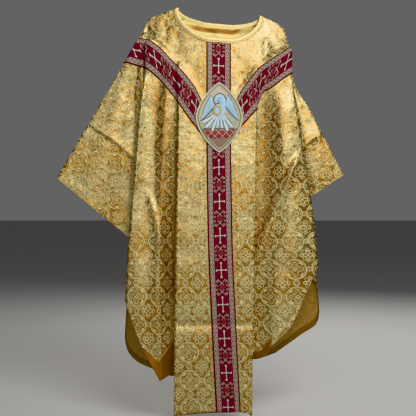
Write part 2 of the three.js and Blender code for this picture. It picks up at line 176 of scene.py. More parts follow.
def rumple(a, b, size, seed):
    """Even, repeatable unevenness between -1 and 1: random values on a square lattice of the
    given size, joined smoothly in both directions."""
    side = 64
    table = np.random.default_rng(seed).uniform(-1, 1, (side, side))
    i, j = np.floor(a / size).astype(int), np.floor(b / size).astype(int)
    s, t = smooth(a / size - i), smooth(b / size - j)

    def corner(m, n):
        return table[(i + m) % side, (j + n) % side]

    return mix(mix(corner(0, 0), corner(1, 0), s), mix(corner(0, 1), corner(1, 1), s), t)


def grid_normals(points):
    """Unit normals of a grid of points: across by down, taken between neighbours."""
    across = np.gradient(points, axis=0)
    down = np.gradient(points, axis=1)
    normal = np.cross(down, across)
    return normal / np.maximum(np.linalg.norm(normal, axis=2, keepdims=True), 1e-9)


# ---- the hanging panels ------------------------------------------------------------------------
def body_depth(z, face):
    """How far the body of a panel stands off the shoulder line at height z."""
    share = np.clip(-np.asarray(z, float) / 900, 0, 1) ** BODY_EASE
    return NECK_DEPTH[face] + (HEM_DEPTH[face] - NECK_DEPTH[face]) * share


def arm_height(half, edge, x):
    """Height of an edge of the arm at a distance from the centre line, through listed points."""
    return float(np.interp(x, *zip(*half[edge])))


# Levels down a ray: neck, binding's edge, shoulder, shoulder's end, start of the overarm,
# arm's top and low edge, three levels of the skirt or wing, and the hem.
LEVELS = [0, 17, 62, 100, 136, 172, 250, 470, 700, 930, 1200]
LEVEL_FACING, LEVEL_SHOULDER_END, LEVEL_ARM_TOP, LEVEL_ARM_LOW, LEVEL_HEM = 2, 3, 5, 6, 10
SKIRT = (0.16, 0.42, 0.71)
WING_SHARES = (0.34, 0.62, 0.84)

# Shares, level by level down the skirt, of the column's drift to the side and of each fold's
# pull towards its place at the hem.
COLUMN_SWAY = (0.05, 0.2, 0.58)
HEM_PULL = (0, 0.04, 0.25)

# How far the wing stands off the shoulder line, by its share of the way to the pleat.
WING_DEPTHS = ((0.07, 0.33, 0.58, 0.83, 1.0), (6, 14, 2, 22, 16))

# Rays of one half from the shoulder seam to the centre line. across: place on the cloth, in mm,
# at mid height. turn: place round the half opening, in half turns. lean: share of the way from
# the strip's edge (0) to the fold's edge (1) on the body, or from the seam (0) to the pleat (1)
# on the wing. The last two rays of the body lie between the column and the strip's edge, or
# follow the column's edge, and have no lean.
WING_RAYS = [
    # across, turn, lean
    (0, 0.0, 0.0),
    (10, 0.0, 0.0),
    (26, 0.03, 0.07),
    (100, 0.08, 0.33),
    (170, 0.12, 0.58),
    (240, 0.155, 0.83),
    (290, 0.18, 1.0),
    (330, 0.20, 0.72),
]
BODY_RAYS = [
    (380, 0.22, 1.0),
    (405, 0.235, 0.8),
    (432, 0.255, 0.56),
    (455, 0.275, 0.36),
    (474, 0.295, 0.16),
    (490, 0.32, -0.05),
    (508, 0.335, 0.0),
    (560, 0.37, None),
    (605, None, None),
]
# Forward offset of each body ray at the arm's two edges, three skirt levels and the hem.
FOLDS = {
    -1: [(2, 2, 2, 0, -4, -6), (-1, -5, -11, -9, 0, 4), (-2, -6, -11, -12, 2, 8), (0, 2, 5, 4, 14, 12),
         (-2, -4, -2, -8, -18, -20), (-1, -14, -24, -28, -32, -34), (3, 4, 5, 6, 6, 6),
         (1, 3, 5, 6, 6, 6), (1, 3, 5, 6, 6, 6)],
    1: [(2, 2, 0, -1, -3, -5), (1, 2, 3, 6, 8, 6), (1, 3, 8, 10, 12, 10), (0, -2, -8, -6, 4, 8),
        (-2, -8, -18, -20, -14, -14), (-1, -12, -20, -26, -30, -30), (3, 4, 5, 6, 6, 6),
        (1, 3, 5, 6, 6, 6), (1, 3, 5, 6, 6, 6)],
}

# How far the ridge beside the seam stands off the shoulder line, at the shoulder and on the
# wing, and how much lower than the seam it lies.
RIDGE_HALF = 9
WING_EDGE_HALF = 4
RIDGE_DROP = 1.5

# Depth of the cloth that turns back under the body, as a share of the body's, and place of the
# ray between the column (0) and the strip's edge (1).
RETURN_DEPTH = 0.40
STRIP_MIDDLE = 0.45

# Rays and levels by name, and the places in LEFT and RIGHT where the fold's rays meet the hem.
SEAM_RAY, RIDGE_RAY, PLEAT_RAY, RETURN_RAY = 0, 1, 6, 7
CREST_RAY, LOBE_RAY, TUCK_RAY, STRIP_RAY, COLUMN_RAY = 8, 11, 13, 14, 16
HEM_NAMES = ("crest_foot", "lobe", "lobe_low", "lobe_foot", "dip")
HALF_ACROSS = [ray[0] for ray in WING_RAYS + BODY_RAYS]
CENTRE_ACROSS = 642


def neck_point(half, turn, face):
    """The neckline is half an ellipse in front view, tilted with the shoulders."""
    angle = math.pi * turn
    tilt = -half["side"] * SHOULDER_TILT
    return (NECK_HALF_WIDTH * math.cos(angle),
            tilt * math.cos(angle) - NECK_DROP[face] * math.sin(angle))


def upper_levels(half, turn, face, arm_top):
    """Levels from the neck to the arm. They leave the neckline along the shoulder at the seam
    and straight down at the centre, then run straight to the arm's upper edge."""
    neck = neck_point(half, turn, face)
    tilt = -half["side"] * SHOULDER_TILT
    along = np.array(half["shoulder"], float) - (NECK_HALF_WIDTH, tilt)
    along /= np.linalg.norm(along)
    lean = math.cos(math.pi * turn)
    away = np.array([along[0] * lean, along[1] * lean - math.sin(math.pi * turn)])
    away /= np.linalg.norm(away)
    run = math.dist(neck, arm_top)
    points = [neck, tuple(neck + away * BINDING_WIDTH)]
    if turn == 0:
        return points + [half["shoulder"], half["shoulder_end"], half["drop"]]
    facing = tuple(neck + away * min(LEVELS[LEVEL_FACING], 0.42 * run))
    return points + [facing, between(facing, arm_top, 0.36), between(facing, arm_top, 0.7)]


def down_to_arm(half, face, turn, top_x, low_x):
    """A ray's levels from the neck to the arm's low edge."""
    top = (top_x, arm_height(half, "arm_upper", top_x))
    low = (low_x, arm_height(half, "arm_lower", low_x))
    return upper_levels(half, turn, face, top) + [top, low]


def hem_place(half, face, name):
    return half[name if face == "front" else "back_" + name]


def wing_ray(half, face, index):
    """One ray of the wing, as (x, depth, z). Seen from the front it lies between the seam and the
    pleat. The seam is on the shoulder line, the wing hangs a little off it, and the pleat turns
    back under the body."""
    _, turn, lean = WING_RAYS[index]
    returning = index == RETURN_RAY
    share = 1.0 if returning else lean
    apex = half["apex"]
    over = min(1, share * 1.05)
    levels = down_to_arm(half, face, turn, mix(half["arm_top"][0], apex[0] - 4, over),
                         mix(half["arm_low"][0], apex[0] + 2, over))
    for t in (*WING_SHARES, 1.0):
        seam = between(half["arm_low"], half["tip"], t)
        pleat = between((apex[0] - 10, apex[1] - 95), half["pleat_foot"], t)
        crest = between((apex[0], apex[1] - 90), hem_place(half, face, "crest_foot"), t)
        levels.append(between(pleat, crest, 0.55) if returning else between(seam, pleat, share))
    points = []
    for level, (x, z) in enumerate(levels):
        down = max(0.0, (level - LEVEL_ARM_TOP) / (LEVEL_HEM - LEVEL_ARM_TOP))
        body = body_depth(z, face)
        edge = mix(RIDGE_HALF, WING_EDGE_HALF, smooth(level / LEVEL_ARM_LOW))
        hanging = mix(edge, float(np.interp(share, *WING_DEPTHS)), smooth(down * 2))
        if index == SEAM_RAY:
            depth = 0.0
        elif index == RIDGE_RAY:
            depth, z = edge, z - RIDGE_DROP
        else:
            on_top = mix(RIDGE_HALF, body, math.sin(math.pi * turn))
            depth = mix(on_top, RETURN_DEPTH * body if returning else hanging, smooth(down * 3))
        points.append((x, depth, z))
    return points


def strip_skirt(half, face, top_x, beside, low_z):
    """Levels below the arm at a share of the way from the column (0) to the strip's edge (1)."""
    length = LENGTH[face]
    foot_x = mix(COLUMN_WIDTH / 2 + half["side"] * COLUMN_DRIFT, half["strip_foot"], beside)
    rise = HEM_RISE * (0.75 if beside else 1)
    levels = [(mix(top_x, foot_x, sway), mix(low_z, -length, t)) for t, sway in zip(SKIRT, COLUMN_SWAY)]
    return levels + [(foot_x, rise - length)]


def fold_skirt(half, face, ray, lean, low_z):
    """Levels below the arm between the strip's edge (lean 0) and the fold's crest (lean 1)."""
    crest_foot = hem_place(half, face, "crest_foot")
    if ray == STRIP_RAY:
        hem = (half["strip_foot"], -LENGTH[face])
    elif ray == TUCK_RAY:
        hem = (half["strip_foot"] + 1, hem_place(half, face, "dip")[1] + 2)
    else:
        hem = hem_place(half, face, HEM_NAMES[ray - CREST_RAY])
    levels = []
    for t, pull in zip(SKIRT, HEM_PULL):
        z = mix(low_z, hem[1], t)
        strip = mix(half["strip_top"], half["strip_foot"], (-z - 300) / 900)
        crest = height_x(half["apex"], crest_foot, z)
        levels.append((mix(mix(strip, crest, lean), hem[0], pull), z))
    return levels + [hem]


def body_ray(half, face, index):
    """One ray of the body, as (x, depth, z), from the fold's crest to the column's edge. It
    stands off the shoulder line by the body's depth and its own fold's offset."""
    _, turn, lean = BODY_RAYS[index]
    ray = CREST_RAY + index
    if turn is None:
        turn = math.acos(COLUMN_WIDTH / 2 / NECK_HALF_WIDTH) / math.pi
    if lean is None:
        beside = 0.0 if ray == COLUMN_RAY else STRIP_MIDDLE
        top_x = low_x = mix(COLUMN_WIDTH / 2, half["strip_top"], beside)
    else:
        # The tuck opens below the arm only.
        top_lean = max(lean, 0.04) if ray == TUCK_RAY else lean
        top_x = mix(half["strip_top"], half["apex"][0] - 6, top_lean)
        low_x = mix(half["strip_top"], half["apex"][0] + 1, lean)
    levels = down_to_arm(half, face, turn, top_x, low_x)
    if ray == COLUMN_RAY:
        levels = [(COLUMN_WIDTH / 2, z) for _, z in levels]
    low_z = levels[-1][1]
    if lean is None:
        levels += strip_skirt(half, face, top_x, beside, low_z)
    else:
        levels += fold_skirt(half, face, ray, lean, low_z)
    points = []
    for level, (x, z) in enumerate(levels):
        fold = np.interp(level, range(LEVEL_ARM_TOP - 1, LEVEL_HEM + 1), (0, *FOLDS[half["side"]][index]))
        share = math.sin(math.pi * turn) if level < LEVEL_ARM_TOP else 1.0
        points.append((x, mix(RIDGE_HALF, body_depth(z, face), share) + fold, z))
    return points


def half_panel(half, face):
    """Guide points of one half of a panel, as rays by levels by (x, y, z)."""
    rays = [wing_ray(half, face, index) for index in range(len(WING_RAYS))]
    rays += [body_ray(half, face, index) for index in range(len(BODY_RAYS))]
    forward = -1 if face == "front" else 1
    return np.array(rays, float) * (half["side"], forward, 1)


def height_x(p, q, z):
    """x at height z of the straight line through p and q."""
    return mix(p[0], q[0], (z - p[1]) / (q[1] - p[1]))


def wave(points, line, amount, width, low=-2000, high=2000, fade=30, lap=0.0):
    """A ridge (or furrow, where amount is below 0) along a line of (x, z) points from the top
    down: amount times a bell of the distance across. lap above 0 makes the side away from +X
    fall off that many times faster."""
    x, z = points[..., 0], points[..., 2]
    line = np.array(sorted(line, key=lambda p: p[1]), float)
    d = x - np.interp(z, line[:, 1], line[:, 0])
    scale = np.where(d < 0, width / (1 + max(lap, 0)), width / (1 + max(-lap, 0)))
    within = smooth((z - low) / fade) * smooth((high - z) / fade)
    return amount * np.exp(-(d / scale) ** 2) * within


# Ridges and long soft folds beside the strip: line of (x, z), amount, width, lowest and highest
# places, length of the fade, sharpness of the side towards -X.
SKIRT_RIDGES = [
    ([(-209, -573), (-181, -694), (-170, -791), (-161, -873)], 8, 11, -900, -540, 60, 0),
    ([(243, -440), (204, -539), (158, -631), (133, -708), (118, -769)], 12, 14, -800, -430, 60, 0.5),
    ([(-205, -250), (-212, -700)], 5, 22, -760, -230, 90, 0),
    ([(205, -250), (236, -560), (240, -700)], 5, 24, -820, -240, 90, 0),
]
STRIP_SWELLS = [([(-70, -420), (-78, -900)], 2.0, 30), ([(84, -420), (78, -900)], 2.0, 26)]

# The packing crease across the strip is pressed inwards, sharper above than below.
CREASE_HEIGHT = -962
CREASE_DEPTH = 6.5

# The furrow from the left shoulder's end down over the arm, small gathers beside it, and the
# furrow above the right arm.
SHOULDER_FURROWS = [
    ([(-219, -10), (-224, -210)], -8, 8, -235, -12, 45),
    ([(-196, -10), (-206, -80)], -2.5, 6, -95, -12, 30),
    ([(-168, -10), (-160, -110)], -2.0, 8, -125, -12, 30),
    ([(150, -40), (146, -150)], -6, 12, -165, -70, 35),
]

# Creases of the wings, where the upper part laps over the lower one: side, line of (x, z).
LAP_DEPTH = 7
WING_LAPS = [
    (-1, [(-400, -350), (-312, -413), (-240, -478)]),
    (1, [(230, -432), (263, -420), (292, -398), (330, -378)]),
]


class Panel:
    """One hanging panel: guide rays joined by splines, with creases and rumples on top.
    Its cloth coordinates are the places on the flat cut, in mm."""

    def __init__(self, face, spacing):
        self.face = face
        left, right = half_panel(LEFT, face), half_panel(RIGHT, face)
        centre = (left[-1] + right[-1]) / 2
        self.guides = np.concatenate([left, centre[None], right[::-1]])
        half = np.array(HALF_ACROSS, float)
        self.across = np.concatenate([half, [CENTRE_ACROSS], 2 * CENTRE_ACROSS - half[::-1]])
        creased = (CREST_RAY, LOBE_RAY, TUCK_RAY, STRIP_RAY)
        self.creases = [*creased, *(len(self.across) - 1 - ray for ray in creased)]
        self.u = stations(self.across, spacing)
        self.v = stations(LEVELS, spacing)
        self.grid = self.surface(self.u, self.v)
        self.cloth = self.flatten(self.u, self.v, self.grid)
        self.normals = grid_normals(self.grid)
        if face == "back":
            self.normals = -self.normals

    def surface(self, u, v):
        """Points at every u and v: guide rays by level splines, then across by ray splines."""
        down = spline_weights(LEVELS, v)
        over = spline_weights(self.across, u, self.creases)
        points = product(over, self.guides, down)
        return points + self.relief(points, u, v)

    def relief(self, points, u, v):
        """Creases, folds and rumples, as movement along Y (out of the panel is positive)."""
        x, z = points[..., 0], points[..., 2]

        def whole_columns(chosen):
            return np.broadcast_to(chosen[:, None], x.shape)

        inset = np.minimum(u, self.across[-1] - u)
        on_wing = whole_columns(inset < self.across[PLEAT_RAY])
        on_strip = whole_columns(inset > self.across[STRIP_RAY] - 2)
        beside_strip = ~on_wing & ~on_strip
        out = np.zeros_like(x)
        for line, amount, width, low, high, fade, lap in SKIRT_RIDGES:
            out += beside_strip * wave(points, line, amount, width, low, high, fade, lap)
        for line, amount, width in STRIP_SWELLS:
            out += on_strip * wave(points, line, amount, width, -960, -400, 80)
        above = z - CREASE_HEIGHT
        out -= on_strip * CREASE_DEPTH * np.where(above > 0, np.exp(-above / 8), np.exp(above / 13))
        if self.face == "front":
            for line, amount, width, low, high, fade in SHOULDER_FURROWS:
                out += wave(points, line, amount, width, low, high, fade)
        for side, line in WING_LAPS:
            line = np.array(line, float)
            above = z - np.interp(x, line[:, 0], line[:, 1])
            lap = np.where(above > 0, np.exp(-above / 60), np.exp(above / 3.5))
            out += (on_wing & (x * side > 0)) * LAP_DEPTH * lap
        # Rumples from handling, with finer ones on the chest; none at the neck's edge.
        chest = smooth((z + 420) / 160)
        rumples = 1.1 * rumple(x + 900, z + 3000, 46, 11) + 0.5 * rumple(x + 900, z + 3000, 21, 12)
        rumples += chest * 1.6 * rumple(x * 1.2 + 900, z + 3000, 30, 13) * ~on_wing
        out += smooth(v / 60)[None, :] * rumples
        move = np.zeros(points.shape)
        forward = -1 if self.face == "front" else 1
        move[..., 1] = forward * out * whole_columns(smooth(inset / 24))
        return move

    def flatten(self, u, v, points):
        """Places on the flat cut: across is the length of cloth from the centre line, down is the
        height; the wings are turned about the fold's apex, as the cut lies before it is hung."""
        step = np.diff(points[..., :2], axis=0)
        lengths = np.cumsum(np.hypot(step[..., 0], step[..., 1]), axis=0)
        lengths = np.concatenate([np.zeros((1, len(v))), lengths])
        flat_x = lengths - lengths[len(u) // 2]
        flat_z = points[..., 2].copy()
        width = self.across[-1]
        for half, sign in ((LEFT, -1), (RIGHT, 1)):
            crest, pleat = self.across[CREST_RAY], self.across[PLEAT_RAY]
            if sign > 0:
                crest, pleat = width - crest, width - pleat
            apex = (sign * half["apex"][0], half["apex"][1])
            angle = math.radians(45) * sign
            dx, dz = points[..., 0] - apex[0], points[..., 2] - apex[1]
            turned_x = apex[0] + dx * math.cos(angle) - dz * math.sin(angle)
            turned_z = apex[1] + dx * math.sin(angle) + dz * math.cos(angle)
            share = smooth((u - crest) / (pleat - crest))[:, None] * smooth((v - LEVELS[4]) / 90)[None, :]
            flat_x = mix(flat_x, turned_x, share)
            flat_z = mix(flat_z, turned_z, share)
        return np.stack([flat_x, flat_z], axis=2)

    def part(self, u, v, offset=0.0):
        """Points, normals and cloth coordinates of a part of the panel, moved out by offset mm."""
        over, down = linear_weights(self.u, u), linear_weights(self.v, v)
        points, normals, cloth = (product(over, values, down)
                                  for values in (self.grid, self.normals, self.cloth))
        normals /= np.linalg.norm(normals, axis=2, keepdims=True)
        return points + normals * offset, normals, cloth

    def at(self, u, v, lift=0.0):
        """Points at any u and v, arrays of one shape, moved out by lift mm."""
        i = np.clip(np.searchsorted(self.u, u, side="right") - 1, 0, len(self.u) - 2)
        j = np.clip(np.searchsorted(self.v, v, side="right") - 1, 0, len(self.v) - 2)
        s = ((u - self.u[i]) / (self.u[i + 1] - self.u[i]))[..., None]
        t = ((v - self.v[j]) / (self.v[j + 1] - self.v[j]))[..., None]

        def pick(grid):
            above, below = mix(grid[i, j], grid[i + 1, j], s), mix(grid[i, j + 1], grid[i + 1, j + 1], s)
            return mix(above, below, t)

        return pick(self.grid) + pick(self.normals) * lift

    def near_hem(self, width, count, lift):
        """Points of the band within width mm of the hem, hem last, moved out by lift mm."""
        near = np.searchsorted(self.v, LEVELS[-1] - 30)
        rate = np.linalg.norm(self.grid[:, -1] - self.grid[:, near], axis=1) / (self.v[-1] - self.v[near])
        v = LEVELS[-1] - np.linspace(width, 0, count)[None, :] / rate[:, None]
        return self.at(self.u[:, None] + 0 * v, v, lift)


def stations(knots, spacing):
    """Places about spacing apart, every knot among them."""
    pieces = []
    for a, b in zip(knots, knots[1:]):
        count = max(2, int(round((b - a) / spacing)) + 1)
        pieces.append(np.linspace(a, b, count)[:-1])
    return np.concatenate([*pieces, [knots[-1]]])


def linear_weights(knots, at):
    """Weights that carry values at the knots to the places in at, by straight lines."""
    at = np.clip(at, knots[0], knots[-1])
    k = np.clip(np.searchsorted(knots, at, side="right") - 1, 0, len(knots) - 2)
    t = (at - knots[k]) / (knots[k + 1] - knots[k])
    weights = np.zeros((len(at), len(knots)))
    weights[np.arange(len(at)), k] = 1 - t
    weights[np.arange(len(at)), k + 1] += t
    return weights


# ---- meshes ------------------------------------------------------------------------------------
def merged_mesh(name, grids, materials, flip=False):
    """One smooth object from grids of points in mm, each with its places on the cloth in mm and
    whether its rows close into a ring. The UV map 'cloth' is in metres."""
    vertices, quads, places, base = [], [], [], 0
    for points, uv, closed in grids:
        count_u, count_v = points.shape[:2]
        index = np.arange(count_u * count_v).reshape(count_u, count_v) + base
        if closed:
            index = np.vstack([index, index[:1]])
        corners = (index[:-1, :-1], index[:-1, 1:], index[1:, 1:], index[1:, :-1])
        quads.append(np.stack(corners, axis=-1).reshape(-1, 4))
        vertices.append(points.reshape(-1, 3))
        places.append(uv.reshape(-1, 2))
        base += count_u * count_v
    quads = np.concatenate(quads)
    if flip:
        quads = quads[:, ::-1]
    mesh = bpy.data.meshes.new(name)
    mesh.from_pydata((np.concatenate(vertices) * MM).tolist(), [], quads.tolist())
    layer = mesh.uv_layers.new(name="cloth")
    corner = np.zeros(len(mesh.loops), dtype=np.int32)
    mesh.loops.foreach_get("vertex_index", corner)
    layer.data.foreach_set("uv", (np.concatenate(places)[corner] * MM).ravel())
    mesh.polygons.foreach_set("use_smooth", [True] * len(mesh.polygons))
    for material in materials:
        mesh.materials.append(material)
    mesh.update()
    piece = bpy.data.objects.new(name, mesh)
    bpy.context.scene.collection.objects.link(piece)
    return piece


def grid_mesh(name, points, uv, materials, closed=False, flip=False):
    return merged_mesh(name, [(points, uv, closed)], materials, flip)


def thicken(piece, thick, inner_material=0):
    """Gives a sheet its thickness; inner_material is the step to the slot of the reverse side."""
    modifier = piece.modifiers.new("thickness", "SOLIDIFY")
    modifier.thickness = thick * MM
    modifier.offset = -1
    modifier.use_rim = True
    modifier.use_quality_normals = True
    modifier.material_offset = inner_material


def finish_piece(piece, slot, *nodes):
    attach(piece, "root")
    if nodes:
        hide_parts(*nodes)


# ---- finishes --------------------------------------------------------------------------------
class Value:
    """A number that varies over a surface. Arithmetic on it adds Math nodes to its finish."""

    def __init__(self, finish, socket):
        self.finish, self.socket = finish, socket

    def _math(self, operation, a, b=0.0):
        inputs = {0: a, 1: b}
        return self.finish.value("Math", {"operation": operation}, inputs)

    def __add__(self, other):
        return self._math("ADD", self, other)

    def __radd__(self, other):
        return self._math("ADD", other, self)

    def __sub__(self, other):
        return self._math("SUBTRACT", self, other)

    def __rsub__(self, other):
        return self._math("SUBTRACT", other, self)

    def __mul__(self, other):
        return self._math("MULTIPLY", self, other)

    def __rmul__(self, other):
        return self._math("MULTIPLY", other, self)

    def __truediv__(self, other):
        return self._math("DIVIDE", self, other)

    def __abs__(self):
        return self._math("ABSOLUTE", self)

    def __neg__(self):
        return self._math("MULTIPLY", self, -1.0)

    def maximum(self, other):
        return self._math("MAXIMUM", self, other)

    def root(self):
        return self._math("SQRT", self)

    def sine(self):
        return self._math("SINE", self)

    def fold(self, length):
        return self._math("PINGPONG", self, length)

    def rise(self, low, high):
        """0 below low, 1 above high, smooth between."""
        return self.finish.value("MapRange", {"interpolation_type": "SMOOTHSTEP"},
                                 {"Value": self, "From Min": low, "From Max": high})

    def line(self, at, half, soft):
        """1 within half of at, falling smoothly to 0 over soft."""
        return 1 - abs(self - at).rise(half, half + soft)


def socket_name(word):
    return word.replace("_", " ").title().replace("Ior", "IOR")


class Finish:
    """A procedural material, built from nodes."""

    def __init__(self, name, **constants):
        self.material = bpy.data.materials.new(name)
        self.material.use_nodes = True
        self.tree = self.material.node_tree
        self.shader = self.tree.nodes["Principled BSDF"]
        for socket, value in constants.items():
            self.shader.inputs[socket_name(socket)].default_value = value

    def node(self, kind, settings=None, inputs=None):
        node = self.tree.nodes.new("ShaderNode" + kind)
        for key, value in (settings or {}).items():
            if key == "stops":
                ramp = node.color_ramp
                while len(ramp.elements) < len(value):
                    ramp.elements.new(0.5)
                for element, (place, colour) in zip(ramp.elements, value):
                    element.position, element.color = place, (*colour, 1)
            else:
                setattr(node, key, value)
        for key, value in (inputs or {}).items():
            self.feed(node.inputs[key], value)
        return node

    def value(self, kind, settings=None, inputs=None, output=0):
        return Value(self, self.node(kind, settings, inputs).outputs[output])

    def feed(self, socket, value):
        if isinstance(value, Value):
            value = value.socket
        if isinstance(value, bpy.types.NodeSocket):
            self.tree.links.new(value, socket)
        elif isinstance(value, tuple) and len(value) == 3 and len(socket.default_value) == 4:
            socket.default_value = (*value, 1)
        else:
            socket.default_value = value

    def set(self, **sockets):
        for name, value in sockets.items():
            self.feed(self.shader.inputs[socket_name(name)], value)

    def cloth_axes(self):
        """Place on the piece's own cloth, across and down, in metres."""
        uv = self.node("UVMap", {"uv_map": "cloth"})
        parts = self.node("SeparateXYZ", inputs={0: uv.outputs[0]})
        return Value(self, parts.outputs[0]), Value(self, parts.outputs[1])

    def object_axes(self):
        parts = self.node("SeparateXYZ", inputs={0: self.node("TexCoord").outputs["Object"]})
        return [Value(self, parts.outputs[k]) for k in range(3)]

    def noise(self, scale, detail=2.0, stretch=None):
        """Even noise about 0.5, scale lumps to the metre of cloth; stretch scales its two axes."""
        vector = self.node("UVMap", {"uv_map": "cloth"}).outputs[0]
        if stretch:
            inputs = {0: vector, 1: (*stretch, 1)}
            vector = self.node("VectorMath", {"operation": "MULTIPLY"}, inputs).outputs[0]
        return self.value("TexNoise", None, {"Vector": vector, "Scale": scale, "Detail": detail})

    def blend(self, share, first, second):
        """A colour share of the way from first to second."""
        node = self.node("Mix", {"data_type": "RGBA"}, {0: share, 6: first, 7: second})
        return node.outputs[2]

    def bump(self, height, distance, strength=1.0, under=None):
        inputs = {"Height": height, "Distance": distance, "Strength": strength}
        if under is not None:
            inputs["Normal"] = under
        return self.node("Bump", None, inputs).outputs[0]


def tone(red, green, blue):
    """A colour given in screen values, as the shader's linear numbers."""
    return tuple((c / 255) ** 2.2 for c in (red, green, blue))


def reach(p, q):
    """Distance from the place where both p and q are 0."""
    return (p * p + q * q).root()


# Repeat of the damask across and down, and the middle of one of its roundels, in metres.
LATTICE = (0.0745, 0.084)
ROUNDEL_AT = (-0.0370, -0.7950)


def damask_figure(finish, across, down):
    """The woven figure, 1 on the lines: roundels with a double ring and a floral cross at each
    lattice point, small rings half way between neighbours, knots of four petals in the middles.
    A petalled outline is a ring whose radius swells with the cosine of four times the angle."""
    wobble = (finish.noise(60, 1) - 0.5) * 0.0016
    a = (across - ROUNDEL_AT[0]).fold(LATTICE[0] / 2)
    b = (down - ROUNDEL_AT[1]).fold(LATTICE[1] / 2)
    c, d = LATTICE[0] / 2 - a, LATTICE[1] / 2 - b

    def petals(p, r):
        """Cosine of four times the angle whose own cosine is p / r."""
        square = p * p / (r * r + 1e-8)
        return 8 * square * square - 8 * square + 1

    roundel = reach(a, b)
    knot = reach(c, d)
    beside, below = reach(c, b), reach(a, d)
    flower, loop = petals(a, roundel), petals(c, knot)
    rings = (roundel + wobble).line(0.0300, 0.0011, 0.0008)
    rings = rings.maximum((roundel + wobble).line(0.0262, 0.0004, 0.0007))
    outline = (roundel - 0.0050 * flower + wobble).line(0.0165, 0.0010, 0.0008)
    inner = (roundel - 0.0036 * flower + wobble).line(0.0112, 0.0005, 0.0007)
    heart = (roundel - 0.0016 * flower).line(0.0, 0.0050, 0.0010) * roundel.rise(0.0018, 0.0028)
    buds = (roundel + 0.0040 * flower).line(0.0200, 0.0022, 0.0008) * (-flower).rise(0.45, 0.8)
    figure = rings.maximum(outline).maximum(inner).maximum(heart).maximum(buds)
    knots = (knot - 0.0055 * loop + wobble).line(0.0142, 0.0011, 0.0008)
    knots = knots.maximum((knot - 0.0040 * loop + wobble).line(0.0092, 0.0012, 0.0008))
    knots = knots.maximum((knot + 0.0034 * loop + wobble).line(0.0160, 0.0007, 0.0007))
    knots = knots.maximum(knot.line(0.0, 0.0026, 0.0010))
    small = beside.line(0.0064, 0.0009, 0.0008).maximum(below.line(0.0082, 0.0009, 0.0008))
    small = small.maximum(below.line(0.0044, 0.0005, 0.0007)).maximum(beside.line(0.0, 0.0018, 0.0008))
    return figure.maximum(knots).maximum(small)


def make_damask():
    """Gold damask: a bright satin ground, a matt figure, both slightly uneven in tone, with painted shade
    in the long folds beside the strip.
    """
    finish = Finish("gold_damask", specular_ior_level=0.5, coat_weight=0.22, coat_roughness=0.42)
    across, down = finish.cloth_axes()
    figure = damask_figure(finish, across, down)
    cloud = finish.noise(9, 3)
    mottle = finish.noise(70, 3)
    ground = finish.blend(cloud.rise(0.3, 0.7), tone(181, 135, 59), tone(205, 187, 131))
    ground = finish.blend(mottle.rise(0.45, 0.7) * 0.8, ground, tone(148, 92, 26))
    # Painted shade: deep in the long folds beside the strip the ground is painted browner, standing in for
    # the shade there and the gold that mirrors only gold; it is lifted along a ridge on the right.
    x, _, z = finish.object_axes()
    left_fold_shade = (x + z * 0.045).line(-0.190, 0.013, 0.020)
    left_fold_shade = left_fold_shade * z.rise(-0.98, -0.82) * (1 - z.rise(-0.26, -0.20))
    right_fold_shade = (x - z * 0.10).line(0.196, 0.016, 0.034)
    right_fold_shade = right_fold_shade * z.rise(-0.82, -0.72) * (1 - z.rise(-0.30, -0.22))
    ridge = (x - 0.39 * z).line(0.4146, 0.003, 0.005)
    right_fold_shade = right_fold_shade * x.rise(0.112, 0.122) * (1 - ridge)
    painted_fold_shade = left_fold_shade.maximum(right_fold_shade * 0.8)
    ground = finish.blend(painted_fold_shade * 0.75, ground, tone(148, 98, 24))
    # Painted shade: the figure is also painted fainter deep in those folds.
    colour = finish.blend(figure * (0.84 - 0.34 * painted_fold_shade), ground, tone(220, 209, 156))
    weave = (across * 5200).sine() * (down * 5200).sine()
    finish.set(base_color=colour,
               metallic=0.9 - 0.6 * figure,
               roughness=0.32 + 0.2 * figure + 0.08 * mottle)
    crumple = finish.noise(48, 2)
    relief = finish.bump(figure + mottle * 0.6 + crumple * 1.2, 0.0011)
    finish.set(normal=finish.bump(weave, 0.00006, 0.4, relief))
    return finish.material


def make_reverse():
    """The reverse of the damask: duller, browner, its figure faint."""
    finish = Finish("damask_reverse", specular_ior_level=0.4)
    across, down = finish.cloth_axes()
    figure = damask_figure(finish, across, down)
    ground = finish.blend(finish.noise(40, 3), tone(150, 112, 53), tone(174, 139, 76))
    colour = finish.blend(figure * 0.55, ground, tone(186, 160, 106))
    finish.set(base_color=colour, metallic=0.4, roughness=0.5)
    finish.set(normal=finish.bump(figure, 0.0004))
    return finish.material


def make_satin(name, dark, light, painted_streak=(), stitch_and_edge_shade=()):
    """Plain gold satin: fine threads one way, soft streaks along them. painted_streak is a dark streak of
    painted shade (across, down, half length, half width); stitch_and_edge_shade are places across with a
    dark line: a sunk seam, or painted shade along an edge."""
    finish = Finish(name, metallic=0.7, specular_ior_level=0.6)
    across, down = finish.cloth_axes()
    streak = finish.noise(30, 3, (1, 6))
    colour = finish.blend(streak, dark, light)
    if painted_streak:
        middle, height, half_length, half_width = painted_streak
        streak_shade_mask = across.line(middle, half_length, 0.03)
        streak_shade_mask = streak_shade_mask * (down + streak * 0.006).line(height, half_width, 0.004)
        # Painted shade: a dark streak across the satin where it turns away from the light.
        colour = finish.blend(streak_shade_mask * 0.85, colour, tone(126, 80, 14))
    for place in stitch_and_edge_shade:
        # Dark lines across: a sunk stitch line, or painted shade in the gap along an edge.
        colour = finish.blend(across.line(place, 0.0021, 0.0012) * 0.8, colour, tone(104, 68, 22))
    finish.set(base_color=colour, roughness=0.3 + 0.14 * streak)
    finish.set(normal=finish.bump((down * 6000).sine() + streak * 2, 0.0001, 0.5))
    return finish.material


